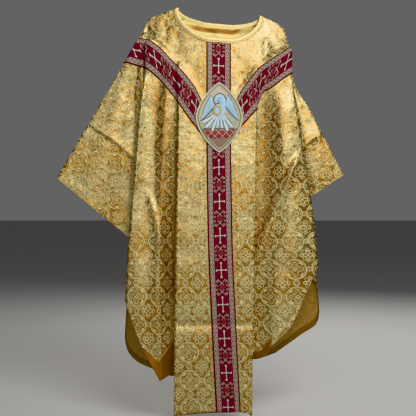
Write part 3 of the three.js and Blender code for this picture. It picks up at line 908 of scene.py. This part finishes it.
def make_galloon():
    """Woven galloon: burgundy ground, chain borders, crosses and crossed ornaments in silver-grey.
    across runs from -37.5 mm to 37.5 mm, down along the band."""
    finish = Finish("woven_galloon", specular_ior_level=0.15)
    across, down = finish.cloth_axes()
    side = abs(across)
    s = down.fold(GALLOON_REPEAT / 2)
    t = GALLOON_REPEAT / 2 - s
    # Chain border: ringlets between two fine lines.
    beat = down.fold(0.0069)
    off = side - 0.0262
    ringlet = (off * off * 1.25 + beat * beat).root()
    link = abs(abs(off) - (0.0069 - beat)).line(0, 0.0003, 0.0006) * off.line(0, 0.0030, 0.0006)
    border = ringlet.line(0.0038, 0.0006, 0.0007).maximum(side.line(0.0204, 0.0003, 0.0006))
    border = border.maximum(side.line(0.0320, 0.0003, 0.0006)).maximum(link * 0.8)
    border = border.maximum(ringlet.line(0.0, 0.0004, 0.0008) * 0.6)
    border_ground = side.line(0.0262, 0.0054, 0.0006)
    # Cross with round tips.
    cross = side.line(0, 0.0011, 0.0008) * s.line(0, 0.0205, 0.001)
    cross = cross.maximum(s.line(0, 0.0011, 0.0008) * side.line(0, 0.0140, 0.001))
    tip = reach(side, s - 0.0212).line(0.0014, 0.0017, 0.0007)
    end = side - 0.0140
    end = (end * end + s * s * 0.5).root().line(0.0, 0.0022, 0.0007)
    lozenge = (side + s).line(0, 0.0040, 0.0008)
    cross = cross.maximum(tip).maximum(end).maximum(lozenge)
    # Crossed ornaments above and below a close-woven centre, with scrolls in the corners.
    saltire = abs(side - abs(t - 0.0130)).line(0, 0.0007, 0.0007) * side.line(0, 0.0062, 0.0008)
    saltire = saltire * t.line(0.0130, 0.0068, 0.0008)
    scroll = reach(side - 0.0128, t - 0.0185).line(0.0032, 0.0003, 0.0007)
    scroll = scroll.maximum(reach(side - 0.0150, t - 0.0065).line(0.0026, 0.0003, 0.0007))
    centre = (side + t * 1.2).line(0, 0.0112, 0.0010)
    check = ((across * 2100).sine() * (down * 2100).sine()).rise(-0.1, 0.3)
    chevron = abs(t + 1.3 * abs(side - 0.0100) - 0.0245).line(0, 0.0006, 0.0006)
    chevron = chevron * side.line(0.0100, 0.0062, 0.0006)
    silver = cross.maximum(saltire).maximum(scroll * 0.8).maximum(chevron).maximum(border)
    rib = (down * 5200).sine()
    wear = finish.noise(90, 3)
    base = finish.blend(wear, tone(92, 9, 31), tone(116, 20, 44))
    base = finish.blend(centre * check * 0.75, base, tone(158, 104, 106))
    base = finish.blend(border_ground * 0.45, base, tone(132, 106, 98))
    base = finish.blend(side.line(0.0372, 0.0022, 0.0006) * 0.5, base, tone(74, 4, 24))
    colour = finish.blend(silver * (0.7 + 0.3 * wear), base, tone(194, 190, 176))
    finish.set(base_color=colour, roughness=0.62 - 0.12 * silver, metallic=0.22 * silver)
    finish.set(normal=finish.bump(rib * 0.25 + silver, 0.0004, 0.8))
    return finish.material


def make_tape():
    """Plain cotton stay tape."""
    finish = Finish("cotton_tape", roughness=0.85)
    across, down = finish.cloth_axes()
    finish.set(base_color=finish.blend(finish.noise(300), tone(206, 186, 148), tone(224, 208, 176)))
    finish.set(normal=finish.bump((across * 4000).sine() * (down * 4000).sine(), 0.0001))
    return finish.material


def make_thread(name, dark, light, stitch=1.0, metallic=0.0, rough=0.5):
    """Embroidery floss: satin stitches side by side, each a rounded thread about stitch mm wide."""
    finish = Finish(name, metallic=metallic, specular_ior_level=0.5)
    _, down = finish.cloth_axes()
    thread = (down * (math.tau / (stitch * MM))).sine()
    tint = finish.noise(260, 3, (0.3, 1))
    colour = finish.blend(tint * 0.7 + thread * 0.25 + 0.1, dark, light)
    finish.set(base_color=colour, roughness=rough + 0.15 * tint)
    finish.set(normal=finish.bump(thread + tint, 0.00022))
    return finish.material


def make_emblem_ground():
    """Close-stitched ground: beige above, grey-green at the middle, taupe below, in upright rows."""
    finish = Finish("emblem_ground_stitch", roughness=0.72, specular_ior_level=0.35)
    across, down = finish.cloth_axes()
    place = (down - (EMBLEM_CENTRE - EMBLEM_HEIGHT / 2) * MM) / (EMBLEM_HEIGHT * MM)
    stops = [(0.12, tone(150, 126, 108)), (0.25, tone(158, 136, 116)),
             (0.34, tone(184, 184, 160)), (0.50, tone(190, 192, 170)),
             (0.66, tone(206, 190, 166)), (0.9, tone(214, 202, 184))]
    uneven = place + (finish.noise(120) - 0.5) * 0.05
    ramp = finish.node("ValToRGB", {"stops": stops}, {0: uneven})
    rows = (across * 4200).sine()
    grain = finish.noise(500, 2, (1, 0.35))
    finish.set(base_color=finish.blend(grain * 0.3, ramp.outputs[0], tone(110, 98, 84)))
    finish.set(normal=finish.bump(rows + grain, 0.0002))
    return finish.material


def make_nest_stitch():
    """The nest: red floss under a slanting lattice of cream cord, with painted shade beside the cord."""
    finish = Finish("nest_stitch", roughness=0.6)
    across, down = finish.cloth_axes()
    one, other = across + down, across - down
    lattice = one.fold(0.0112).line(0, 0.0008, 0.0006).maximum(other.fold(0.0112).line(0, 0.0008, 0.0006))
    cord_shade = one.fold(0.0112).line(0, 0.0020, 0.0008).maximum(other.fold(0.0112).line(0, 0.0020, 0.0008))
    floss = finish.noise(420, 2, (1, 0.3))
    colour = finish.blend(floss, tone(116, 30, 38), tone(156, 66, 68))
    # Painted shade: the floss is darkened in a band along each side of the raised cord.
    colour = finish.blend(cord_shade * 0.6, colour, tone(84, 22, 32))
    colour = finish.blend(lattice * 0.85, colour, tone(216, 196, 170))
    finish.set(base_color=colour)
    finish.set(normal=finish.bump(lattice * 2 + floss, 0.0004))
    return finish.material


def make_paint(name, colour):
    """Plain paint for the floor."""
    finish = Finish(name, roughness=0.85)
    finish.set(base_color=colour)
    return finish.material


# ---- trims ---------------------------------------------------------------------------------
def lengths_along(points):
    """Distance from the first row of a grid to each row, along each column."""
    step = np.linalg.norm(np.diff(points, axis=0), axis=2)
    return np.concatenate([np.zeros((1, points.shape[1])), np.cumsum(step, axis=0)])


def distance_along(path):
    """Distance from the start of a curve to each of its points."""
    return np.concatenate([[0], np.cumsum(np.linalg.norm(np.diff(path, axis=0), axis=1))])


def trim_band(name, panel, u, v, material, node, runs):
    """A sewn strip of galloon that follows the panel, its two long edges let down a little onto
    the cloth. It runs 'down' the panel or 'over' it, from the column to the wing."""
    points, normals, _ = panel.part(u, v, LIFT)
    half = COLUMN_WIDTH / 2
    if runs == "over":
        run = lengths_along(points)
        inner_end = len(u) - 1 if abs(points[-1, 0, 0]) < abs(points[0, 0, 0]) else 0
        run = np.abs(run - run[inner_end]) + ARM_PHASE
        width = np.broadcast_to(np.linspace(-half, half, len(v)), run.shape)
        edges = np.s_[:, [0, -1]]
    else:
        run = lengths_along(points.swapaxes(0, 1)).T
        run = np.broadcast_to(run.mean(axis=0) + COLUMN_PHASE, run.shape)
        width = np.broadcast_to(np.linspace(-half, half, len(u))[:, None], run.shape)
        edges = np.s_[[0, -1]]
    points[edges] -= normals[edges] * EDGE_FALL
    uv = np.stack([width, run], axis=2)
    piece = grid_mesh(name, points, uv, [material], flip=panel.face == "back")
    thicken(piece, TRIM_THICK)
    finish_piece(piece, "galloon", node)
    return piece


def round_neck(panels, v, lift):
    """Rows of both panels joined into a ring: the front from left to right, then the back."""
    front = panels["front"].part(panels["front"].u, v, lift)[0]
    back = panels["back"].part(panels["back"].u, v, lift)[0]
    return np.concatenate([front[:-1], back[::-1][:-1]])


def neck_binding(panels, material):
    """Bias binding: its section climbs the outer face of the cloth, rolls over the raw edge in a
    half circle and runs down the inner face; the section is carried round the neck."""
    def row(v, lift):
        return round_neck(panels, np.array([float(v)]), lift)[:, 0]

    thick = PANEL_THICK + 0.4
    outer = [(BINDING_WIDTH, 0.15), (BINDING_WIDTH - 0.9, 0.8), (BINDING_WIDTH - 4, 1.4),
             (BINDING_WIDTH - 5, 0.8), (BINDING_WIDTH - 6, 1.4), (9, 1.5), (4, 1.4), (1.2, 1.2)]
    inner = [(1.2, -1.2 - thick), (5, -1.3 - thick), (11, -1.3 - thick), (BINDING_WIDTH, -1.1 - thick)]
    edge_out, edge_in = row(0, 0.6), row(0, -0.9 - thick)
    away = row(0, 0) - row(3, 0)
    away /= np.linalg.norm(away, axis=1, keepdims=True)
    rolled = [edge_out, mix(edge_out, edge_in, 0.5) + away * 0.9, edge_in]
    rows = [row(v, lift) for v, lift in outer] + rolled + [row(v, lift) for v, lift in inner]
    points = np.stack(rows, axis=1)
    ring = lengths_along(np.concatenate([points, points[:1]]))[:-1, :1]
    section = np.linspace(0, 2.2 * BINDING_WIDTH, len(rows))
    shape = points.shape[:2]
    uv = np.stack([np.broadcast_to(section, shape), np.broadcast_to(ring, shape)], axis=2)
    piece = grid_mesh("neck_binding_bias", points, uv, [material], closed=True, flip=True)
    thicken(piece, SATIN_THICK)
    finish_piece(piece, "satin", "neck_binding")
    return piece


# ---- emblem --------------------------------------------------------------------------------
# Height off the column at which the figures lie on the patch.
FIGURE_BASE = PATCH_TOP + 0.5
BIRD_MIDDLE = 1.0
RING_AT = (-6, 21)
ROPE_TURN = 6.2         # length of one turn of a rope, in mm

# The left wing: an outer edge that runs from the shoulder over the tip, an inner edge below.
WING_OUTER = [(-17, 40), (-20, 56), (-25, 67), (-33, 55), (-42, 36), (-49, 16), (-54, 0), (-57, -11)]
WING_INNER = [(-14, 32), (-17, 30), (-20, 27), (-24, 22), (-30, 14), (-37, 7), (-46, -2), (-57, -11)]

# The fan's feathers: root, tip, width, sideways bend.
FEATHERS = [
    ((-14, 8), (-53, -16), 8.5, 2),
    ((-11, 5), (-43, -33), 8.5, 1),
    ((-6, 3), (-22, -43), 8.5, 0),
    ((-1, 2), (-7, -32), 7.5, 0),
    ((4, 2), (8, -34), 7.5, 0),
    ((9, 3), (25, -42), 8.5, 0),
    ((13, 5), (40, -31), 8.0, -1),
]


class Relief:
    """The front of the column behind the emblem, as a smooth depth by height."""

    def __init__(self, column_depth):
        self.column_depth = column_depth

    def place(self, flat, lift):
        """Points at places (x, z) from the emblem's centre, lift mm off the column."""
        z = flat[..., 1] + EMBLEM_CENTRE
        return np.stack([flat[..., 0] + EMBLEM_SHIFT, -(self.column_depth(z) + lift), z], axis=-1)


def oval_points(inset, count=180):
    """A pointed oval, inset mm inside the badge's edge. Where its height is a share h of the half
    height, its width is (1 - h ** 1.72) ** 0.86 of the full width."""
    half_w = EMBLEM_WIDTH / 2 - inset
    half_h = EMBLEM_HEIGHT / 2 - inset * 1.15
    t = np.linspace(0, math.tau, count, endpoint=False)
    z = half_h * np.cos(t)
    share = 1 - np.abs(z / half_h) ** 1.72
    x = half_w * np.sign(np.sin(t)) * np.maximum(share, 0) ** 0.86
    return np.stack([x, z], axis=1)


def patch_grid(relief, inset, height, dome, sink):
    """A filled oval: copies of the rim shrink towards the centre, raised by dome times one less
    the square of their size; the rim itself is let down by sink."""
    shares = np.array([1.0, 0.995, 0.97, 0.9, 0.78, 0.62, 0.44, 0.26, 0.1, 0.01])
    flat = oval_points(inset)[:, None] * shares[None, :, None]
    lift = height + dome * (1 - shares**2) * np.ones(flat.shape[:2])
    lift[:, 0] = height - sink
    return relief.place(flat, lift), flat + (0, EMBLEM_CENTRE), True


def oval_ring(relief, inset, width, height, twist, sides=10):
    """A cord round the oval: a half-round section between two insets; twist adds rope ridges."""
    outer, inner = oval_points(inset, 240), oval_points(inset + width, 240)
    turn = np.linspace(0, math.pi, sides)
    share = (1 - np.cos(turn)) / 2
    path = distance_along(outer)[:, None]
    flat = outer[:, None] + (inner - outer)[:, None] * share[None, :, None]
    rope = 1 + twist * np.sin(path * math.tau / ROPE_TURN + turn * 1.2)
    lift = PATCH_TOP - 0.9 + np.sin(turn) * height * rope
    uv = np.stack([np.broadcast_to(turn * 2, lift.shape), path + 1.2 * turn], axis=2)
    return relief.place(flat, lift), uv, True


def curve_through(points, count):
    """A smooth curve through given points, its pieces as long as the chords."""
    points = np.array(points, float)
    knots = distance_along(points)
    return spline_weights(knots, np.linspace(0, knots[-1], count)) @ points


def leaf(relief, one_edge, other_edge, height, base, count=36, ripple=0.0, ripples=6):
    """A padded shape stretched between two edge curves, domed across by the root of a circle;
    ripple raises long ridges that run with it, as rows of satin stitch do."""
    first, second = curve_through(one_edge, count), curve_through(other_edge, count)
    s = np.linspace(0, 1, 11)
    flat = first[:, None] + (second - first)[:, None] * s[None, :, None]
    dome = np.sqrt(np.maximum(0, 1 - (2 * s - 1) ** 2))
    width = np.linalg.norm(second - first, axis=1)[:, None]
    lift = base - 0.5 + (height + 0.5) * dome * np.minimum(1, width / 6) ** 0.5
    lift = lift + ripple * dome * np.abs(np.sin(s * math.pi * ripples))
    run = distance_along((first + second) / 2)[:, None]
    uv = np.stack([s * width, np.broadcast_to(run, lift.shape)], axis=2)
    return relief.place(flat, lift), uv, False


def finger(relief, start, end, width, height, base, bend=0.0):
    """A finger-like feather: even in width, narrower at its root, round at its tip."""
    start, end = np.array(start, float), np.array(end, float)
    t = np.linspace(0, 1, 26)[:, None]
    way = end - start
    side = np.array([-way[1], way[0]]) / np.linalg.norm(way)
    spine = start + way * t + side * (bend * np.sin(math.pi * t))
    tip = np.sqrt(np.maximum(0, 1 - np.clip((t - 0.86) / 0.14, 0, 1) ** 2))
    half = width / 2 * (0.45 + 0.55 * smooth(t * 1.6)) * tip + 0.02
    s = np.linspace(-1, 1, 9)
    flat = spine[:, None] + side * (half * s)[..., None]
    lift = base - 0.5 + (height + 0.5) * np.sqrt(1 - s**2) * np.ones((len(t), 1))
    uv = np.stack([half * s, np.broadcast_to(t * np.linalg.norm(way), lift.shape)], axis=2)
    return relief.place(flat, lift), uv, False


def line_cord(relief, path, radius, base):
    """A fine couched cord along a curve: a half-round ridge."""
    curve = curve_through(path, 8 * len(path))
    ahead = np.gradient(curve, axis=0)
    side = np.stack([-ahead[:, 1], ahead[:, 0]], axis=1) / np.linalg.norm(ahead, axis=1, keepdims=True)
    turn = np.linspace(0, math.pi, 6)
    flat = curve[:, None] + side[:, None] * (radius * np.cos(turn))[None, :, None]
    lift = base - 0.3 + (radius + 0.3) * np.sin(turn) * np.ones((len(curve), 1))
    run = distance_along(curve)[:, None]
    uv = np.stack([np.broadcast_to(turn, lift.shape), np.broadcast_to(run, lift.shape)], axis=2)
    return relief.place(flat, lift), uv, False


def mirror_x(path):
    """The path mirrored about the bird's middle line."""
    return [(2 * BIRD_MIDDLE - x, z) for x, z in path]


def emblem_piece(name, slot, nodes, grids, material, thick=SATIN_THICK):
    piece = merged_mesh(name, grids, [material])
    thicken(piece, thick)
    finish_piece(piece, slot, *nodes)


def make_badge(relief, finishes):
    """The ground patch with a silver cord, two twisted rows of gold braid and an inner cord."""
    patch = patch_grid(relief, 0.6, PATCH_TOP, 1.2, 2.4)
    emblem_piece("emblem_patch_ground", "emblem_ground", ["emblem_patch"], [patch],
                 finishes["ground"], thick=0.8)
    cord = oval_ring(relief, 0, 4.6, 3.2, 0.10)
    emblem_piece("emblem_cord_outer", "silver_cord", ["emblem_outer_cord"], [cord], finishes["silver"])
    braid = [oval_ring(relief, 4.9, 2.9, 2.4, 0.22), oval_ring(relief, 7.6, 2.6, 2.3, -0.22)]
    emblem_piece("emblem_braid_ring", "gold_braid", ["emblem_gold_braid"], braid, finishes["braid"])
    cord = oval_ring(relief, 10.5, 2.6, 2.6, 0.12)
    emblem_piece("emblem_cord_inner", "silver_cord", ["emblem_inner_cord"], [cord], finishes["silver"])


def breast_ring(relief):
    """A ring lying on the breast: a half-round section carried round a slightly tall circle."""
    turn = np.linspace(0, math.tau, 64, endpoint=False)[:, None]
    section = np.linspace(0, math.pi, 8)
    radius = 12.1 - 3.0 * np.cos(section)
    flat_x = RING_AT[0] + 0.92 * radius * np.cos(turn)
    flat_z = RING_AT[1] - radius * np.sin(turn) * 1.05
    lift = FIGURE_BASE + 1.6 + 2.0 * np.sin(section) * np.ones_like(flat_x)
    uv = np.stack([np.broadcast_to(radius, flat_x.shape), turn * 12 * np.ones_like(flat_x)], axis=2)
    return relief.place(np.stack([flat_x, flat_z], axis=2), lift), uv, True


def make_bird(relief, finishes):
    """Padded satin stitch: two wings, then breast, body, head and beak, and a fan of feathers."""
    left = leaf(relief, WING_OUTER, WING_INNER, 1.6, FIGURE_BASE, ripple=0.5, ripples=5)
    right = leaf(relief, mirror_x(WING_INNER), mirror_x(WING_OUTER), 1.6, FIGURE_BASE,
                 ripple=0.5, ripples=5)
    for word, wing in (("left", left), ("right", right)):
        emblem_piece(f"bird_wing_{word}_satin", "blue_thread", [f"bird_wing_{word}"], [wing],
                     finishes["blue"])
    breast = leaf(relief, [(-16, 34), (-19, 24), (-15, 10), (-6, 2)],
                  [(4, 40), (6, 26), (5, 12), (4, 0)], 1.8, FIGURE_BASE, ripple=0.3)
    body = leaf(relief, [(-13, 45), (-14, 58), (-7, 69), (3, 71), (13, 65), (19, 52), (20, 36), (19, 20),
                         (13, 6), (8, -2)],
                [(-9, 42), (-9, 50), (-4, 57), (1, 57), (4, 50), (3, 40), (-2, 30), (-8, 18), (-6, 6),
                 (4, -2)], 2.4, FIGURE_BASE + 0.3, ripple=0.35, ripples=5)
    head = leaf(relief, [(-12, 50), (-6, 57), (2, 56), (5, 49)],
                [(-10, 44), (-6, 41), (0, 42), (4, 47)], 2.6, FIGURE_BASE + 1.2)
    beak = finger(relief, (-5, 46), (-7, 33), 4.5, 1.4, FIGURE_BASE + 2.2)
    body_parts = [breast, body, head, beak]
    emblem_piece("bird_body_satin", "blue_thread", ["bird_body"], body_parts, finishes["blue"])
    emblem_piece("bird_breast_ring", "gold_braid", ["breast_ring"], [breast_ring(relief)],
                 finishes["gold_floss"])
    fan = [finger(relief, root, tip, width, 1.5 + 0.25 * (k % 2), FIGURE_BASE + 0.5, bend)
           for k, (root, tip, width, bend) in enumerate(FEATHERS)]
    emblem_piece("bird_feather_fan_satin", "pale_thread", ["bird_feather_fan"], fan, finishes["pale"])


def upright_stitches(grid):
    """The same grid with its cloth measured upright, across and down the emblem."""
    points, _, closed = grid
    return points, points[..., [0, 2]], closed


def make_nest(relief, finishes):
    """The woven nest, scalloped below, and the ground under it."""
    nest = leaf(relief, [(-54, -37), (-30, -35.5), (0, -35), (30, -35.5), (54, -37)],
                [(-36, -63), (-28, -66.5), (-22, -64), (-14, -66.5), (-7, -64), (0, -66.5), (7, -64),
                 (14, -66.5), (22, -64), (28, -66.5), (36, -63)], 1.8, FIGURE_BASE, count=80)
    emblem_piece("nest_lattice", "red_thread", ["nest"], [upright_stitches(nest)], finishes["nest"])
    ground = leaf(relief, [(-34, -69), (0, -71), (34, -69)], [(-30, -74), (0, -93), (30, -74)],
                  0.9, FIGURE_BASE - 0.1, count=40)
    emblem_piece("nest_base_satin", "emblem_ground", ["nest_base"], [upright_stitches(ground)],
                 finishes["ground"])


def make_outline(relief, finishes):
    """Dark cords round the wings, body, head, nest, feathers and ring."""
    cords = [
        (WING_OUTER, 0.9, 0), (mirror_x(WING_OUTER), 0.9, 0),
        (WING_INNER, 1.3, 0.3), (mirror_x(WING_INNER), 1.3, 0.3),
        ([(-15, 40), (-17, 56), (-9, 70), (3, 73), (14, 68), (21, 54)], 0.9, 0.6),
        ([(-10, 41), (-12, 36), (-11, 31)], 1.0, 1.4),
        ([(-7, 51), (-3, 52), (-1, 48), (-3, 44), (-7, 40)], 1.2, 3.2),
        ([(22, 50), (21, 41), (20, 32)], 1.3, 0.8),
        ([(-54, -36), (-20, -35), (10, -34.5), (54, -36)], 0.8, 1.2),
    ]
    for root, tip, width, _ in FEATHERS:
        root, tip = np.array(root, float), np.array(tip, float)
        way = tip - root
        across = np.array([-way[1], way[0]]) / np.linalg.norm(way) * (width / 2 + 0.3)
        for sign in (-1, 1):
            start = root + way * 0.28 + across * sign * 0.85
            end = tip - way * 0.1 + across * sign
            cords.append(([start, (start + end) / 2, end], 0.8, 0.5))
    turn = np.linspace(0, math.tau, 25)
    for size in (9.0, 15.2):
        ring = np.stack([RING_AT[0] + size * 0.93 * np.cos(turn), RING_AT[1] + size * np.sin(turn)], axis=1)
        cords.append((ring, 0.75, 1.6))
    grids = [line_cord(relief, path, radius, FIGURE_BASE + lift) for path, radius, lift in cords]
    emblem_piece("bird_outline_cord", "silver_cord", [], grids, finishes["slate"], thick=0.3)


def build_emblem(panel, finishes):
    """An oval badge with a generic bird over a woven nest, cords and braid round its edge."""
    middle = len(panel.u) // 2
    heights = panel.grid[middle, ::-1, 2]
    depths = -panel.grid[middle, ::-1, 1]
    window = np.linspace(EMBLEM_CENTRE - 125, EMBLEM_CENTRE + 125, 60)
    fitted = np.polyfit(window, np.interp(window, heights, depths), 2)
    relief = Relief(lambda z: np.polyval(fitted, z) + LIFT)
    make_badge(relief, finishes)
    make_bird(relief, finishes)
    make_nest(relief, finishes)
    make_outline(relief, finishes)


# ---- the whole garment -----------------------------------------------------------------------
# The front hem's turned corners: word, side of the panel, place across of the outer end, places
# down of the top edge at its inner and outer ends.
TURNED_CORNERS = [("left", 1, 418, (1050, 1196)), ("right", -1, 452, (1194, 1156))]


def make_finishes():
    """Every finish of the garment by name."""
    return {
        "damask": make_damask(),
        "reverse": make_reverse(),
        "galloon": make_galloon(),
        "satin": make_satin("gold_satin", tone(176, 134, 58), tone(208, 182, 124)),
        # The binding's dark line at 0.6 mm is painted shade in the gap along its outer edge on the cloth;
        # the line at 8 mm is its sunk stitch line.
        "binding": make_satin("binding_satin", tone(188, 160, 92), tone(214, 198, 146),
                              stitch_and_edge_shade=(0.0006, 0.0080)),
        # The dark streak on the back neck facing is painted shade where its satin turns away from the
        # light.
        "facing": make_satin("facing_satin", tone(190, 158, 86), tone(216, 196, 136),
                             painted_streak=(0.165, 0.023, 0.060, 0.0065)),
        "lining": make_satin("hem_satin", tone(126, 77, 18), tone(166, 114, 40)),
        # The back hem facing's satin is darker and more olive than the other satins: painted shade under
        # the hem.
        "back_hem_in_shade": make_satin("back_hem_satin_in_shade", tone(112, 80, 30), tone(140, 104, 46)),
        "tape": make_tape(),
        "ground": make_emblem_ground(),
        "nest": make_nest_stitch(),
        "silver": make_thread("silver_cord_twist", tone(200, 208, 204), tone(252, 255, 250), 1.6, 0.2, 0.4),
        "braid": make_thread("gold_braid_twist", tone(128, 100, 46), tone(236, 218, 160), 1.8, 0.25, 0.4),
        "gold_floss": make_thread("gold_floss", tone(168, 126, 50), tone(250, 238, 182), 1.6, 0.25, 0.36),
        "blue": make_thread("light_blue_floss", tone(160, 208, 244), tone(212, 238, 255), 1.1, 0.0, 0.45),
        "pale": make_thread("pale_blue_floss", tone(198, 230, 252), tone(244, 252, 255), 1.1, 0.0, 0.42),
        "slate": make_thread("slate_outline_floss", tone(34, 46, 62), tone(62, 78, 96), 0.9, 0.0, 0.6),
    }


def make_orphrey(face, panel, material):
    """The column down the middle and an arm over each half, from the column to the wing's edge."""
    edge = panel.across[COLUMN_RAY]
    other_edge = panel.across[-1] - edge
    column_u = stations([edge, other_edge], COLUMN_SPACING)
    column_v = np.concatenate([[BINDING_WIDTH - 3], panel.v[panel.v > BINDING_WIDTH]])
    trims = [trim_band(f"{face}_column_galloon", panel, column_u, column_v, material,
                       f"{face}_orphrey_column", "down")]
    arm_v = stations([LEVELS[LEVEL_ARM_TOP], LEVELS[LEVEL_ARM_LOW]], MESH_SPACING)
    for word, u in (("left", panel.u[panel.u <= edge]), ("right", panel.u[panel.u >= other_edge])):
        trims.append(trim_band(f"{face}_arm_{word}_galloon", panel, u, arm_v, material,
                               f"{face}_orphrey_arm_{word}", "over"))
    return trims


def hem_facing_points(panel):
    """The hem facing inside the panel. The front one peeks out a little under the hem's middle."""
    points = panel.near_hem(HEM_FACING_WIDTH[panel.face], 7, LINING_LIFT)
    if panel.face == "front":
        x = points[:, -1, 0]
        points[:, -1, 2] -= 2.6 * np.exp(-((x + 30) / 78) ** 4)
    return points


def build_panel(face, panel, finishes):
    """One panel with its orphrey and its satin facings."""
    cloth = grid_mesh(f"{face}_panel_cloth", panel.grid, panel.cloth,
                      [finishes["damask"], finishes["reverse"]], flip=face == "back")
    thicken(cloth, PANEL_THICK, 1)
    finish_piece(cloth, "damask", f"{face}_panel")
    bands = make_orphrey(face, panel, finishes["galloon"])
    neck_satin, hem_satin = ("satin", "lining") if face == "front" else ("facing", "back_hem_in_shade")
    bands.append(lining_grid(f"{face}_neck_facing_satin", panel, facing_points(panel),
                             finishes[neck_satin], f"{face}_neck_facing"))
    bands.append(lining_grid(f"{face}_hem_facing_satin", panel, hem_facing_points(panel),
                             finishes[hem_satin], f"{face}_hem_facing"))
    if face == "front":
        for word, sign, outer, tops in TURNED_CORNERS:
            bands.append(turned_corner(word, sign, panel, finishes["lining"], outer, tops))
    for band in bands:
        declare_band(band)


def build_garment():
    finishes = make_finishes()
    panels = {face: Panel(face, MESH_SPACING) for face in ("front", "back")}
    for face, panel in panels.items():
        build_panel(face, panel, finishes)
    declare_band(neck_binding(panels, finishes["binding"]))
    for word, index, sign in (("left", 0, -1), ("right", -1, 1)):
        declare_band(stay_tape(word, panels["front"], index, sign, finishes["tape"]))
    build_emblem(panels["front"], finishes)


def turned_corner(word, sign, panel, material, outer, tops):
    """Where the front hem rises beside the strip its facing is turned out to the front: a
    gusset of satin between the furrow and the place outer, from a sloping top edge to the hem."""
    inner = panel.across[TUCK_RAY] + 6
    u = panel.u[(panel.u > outer) & (panel.u < inner)][::-1, None]
    s, t = (inner - u) / (inner - outer), np.linspace(0, 1, 26)[None, :]
    v = mix(mix(tops[0], tops[1], s ** 0.8), LEVELS[LEVEL_HEM] - 1, t)
    if sign < 0:
        u = panel.across[-1] - u
    lift = 0.9 + 2.2 * np.sin(math.pi * s) * t
    points = panel.at(np.broadcast_to(u, v.shape), v, lift[..., None])
    return satin_piece(f"front_hem_turned_{word}", points, material, sign > 0)


def satin_piece(name, points, material, flip, *nodes):
    """A thin sheet of satin over a grid of points, its cloth measured along both ways."""
    uv = np.stack([lengths_along(points), lengths_along(points.swapaxes(0, 1)).T], axis=2)
    piece = grid_mesh(name, points, uv, [material], flip=flip)
    thicken(piece, SATIN_THICK)
    finish_piece(piece, "satin", *nodes)
    return piece


def facing_points(panel):
    """The neck facing hangs a little loose: two soft ripples run round it."""
    v = stations([2, LEVELS[LEVEL_FACING]], 4)
    loose = np.sin(math.pi * (v - 2) / 60)[None, :] * (1.2 + np.sin(v / 6.4)[None, :] * 1.1)
    loose = loose * np.sin(math.pi * np.linspace(0, 1, len(panel.u)))[:, None]
    points, normals, _ = panel.part(panel.u, v, LINING_LIFT)
    return points - normals * loose[..., None]


def lining_grid(name, panel, points, material, node):
    """A strip of satin against the inside of the panel."""
    return satin_piece(name, points, material, panel.face == "back", node)


def stay_tape(word, panel, index, sign, material):
    """Narrow tape under the shoulder seam: it follows the ridge between neck and shoulder end."""
    v = np.linspace(LEVELS[0] + 6, LEVELS[LEVEL_SHOULDER_END] - 6, 24)
    seam = panel.part(panel.u[[index]], v)[0][0]
    s = np.linspace(-1, 1, 9)[:, None]
    points = seam[None, :] + np.zeros((len(s), 1, 1))
    points[..., 1] += s * TAPE_HALF
    points[..., 2] -= 3.2 + 0.25 * s**2
    shape = points.shape[:2]
    run = np.linalg.norm(seam - seam[0], axis=1)
    uv = np.stack([np.broadcast_to(s * TAPE_HALF, shape), np.broadcast_to(run, shape)], axis=2)
    piece = grid_mesh(f"{word}_shoulder_tape", points, uv, [material], flip=sign < 0)
    thicken(piece, TAPE_THICK)
    finish_piece(piece, "tape", f"{word}_shoulder_stay_tape")
    return piece


def declare_band(piece):
    """Reads a narrow sewn strip's face areas and its places on the cloth; nothing is done with them."""
    mesh = piece.data
    areas = np.zeros(len(mesh.polygons))
    mesh.polygons.foreach_get("area", areas)
    uv = np.zeros(len(mesh.loops) * 2)
    mesh.uv_layers["cloth"].data.foreach_get("uv", uv)
    uv = uv.reshape(-1, 2)


def set_camera():
    camera = bpy.data.objects.new("camera", bpy.data.cameras.new("camera"))
    camera.data.lens = 70
    camera.data.sensor_width = 36
    camera.location = (-0.0325, -2.51, -0.61)
    camera.rotation_euler = (math.radians(90), 0, 0)
    bpy.context.scene.collection.objects.link(camera)
    bpy.context.scene.camera = camera


def soft_light(name, place, aim, size, power, colour):
    """A rectangular lamp at place, turned towards aim."""
    data = bpy.data.lights.new(name, "AREA")
    data.shape = "RECTANGLE"
    data.size, data.size_y = size
    data.energy = power
    data.color = colour
    light = bpy.data.objects.new(name, data)
    light.location = place
    light.rotation_euler = (Vector(aim) - Vector(place)).to_track_quat("-Z", "Y").to_euler()
    bpy.context.scene.collection.objects.link(light)


def set_studio():
    soft_light("key", (0.85, -2.1, 1.05), (0, 0, -0.3), (1.4, 1.1), 61, (0.99, 1, 0.955))
    soft_light("front", (-0.6, -2.9, 0.2), (0, 0, -0.5), (1.0, 1.2), 15, (1, 0.99, 0.97))
    soft_light("rear", (0.8, 2.4, 1.2), (0, 0, -0.5), (1.6, 1.6), 62, (1, 0.98, 0.95))
    bpy.context.scene.view_settings.view_transform = "Khronos PBR Neutral"
    world = bpy.data.worlds.new("studio")
    world.use_nodes = True
    background = world.node_tree.nodes["Background"]
    background.inputs[0].default_value = (0.83, 0.82, 0.82, 1)
    background.inputs[1].default_value = 0.20
    bpy.context.scene.world = world
    ground = bpy.data.meshes.new("floor")
    level = cad_box[0][2] - 0.02
    corners = [(-40, -40, level), (40, -40, level), (40, 40, level), (-40, 40, level)]
    ground.from_pydata(corners, [], [(0, 1, 2, 3)])
    ground.materials.append(make_paint("pale_floor", (0.48, 0.475, 0.47)))
    floor = bpy.data.objects.new("floor", ground)
    bpy.context.scene.collection.objects.link(floor)


set_camera()
set_studio()
build_garment()
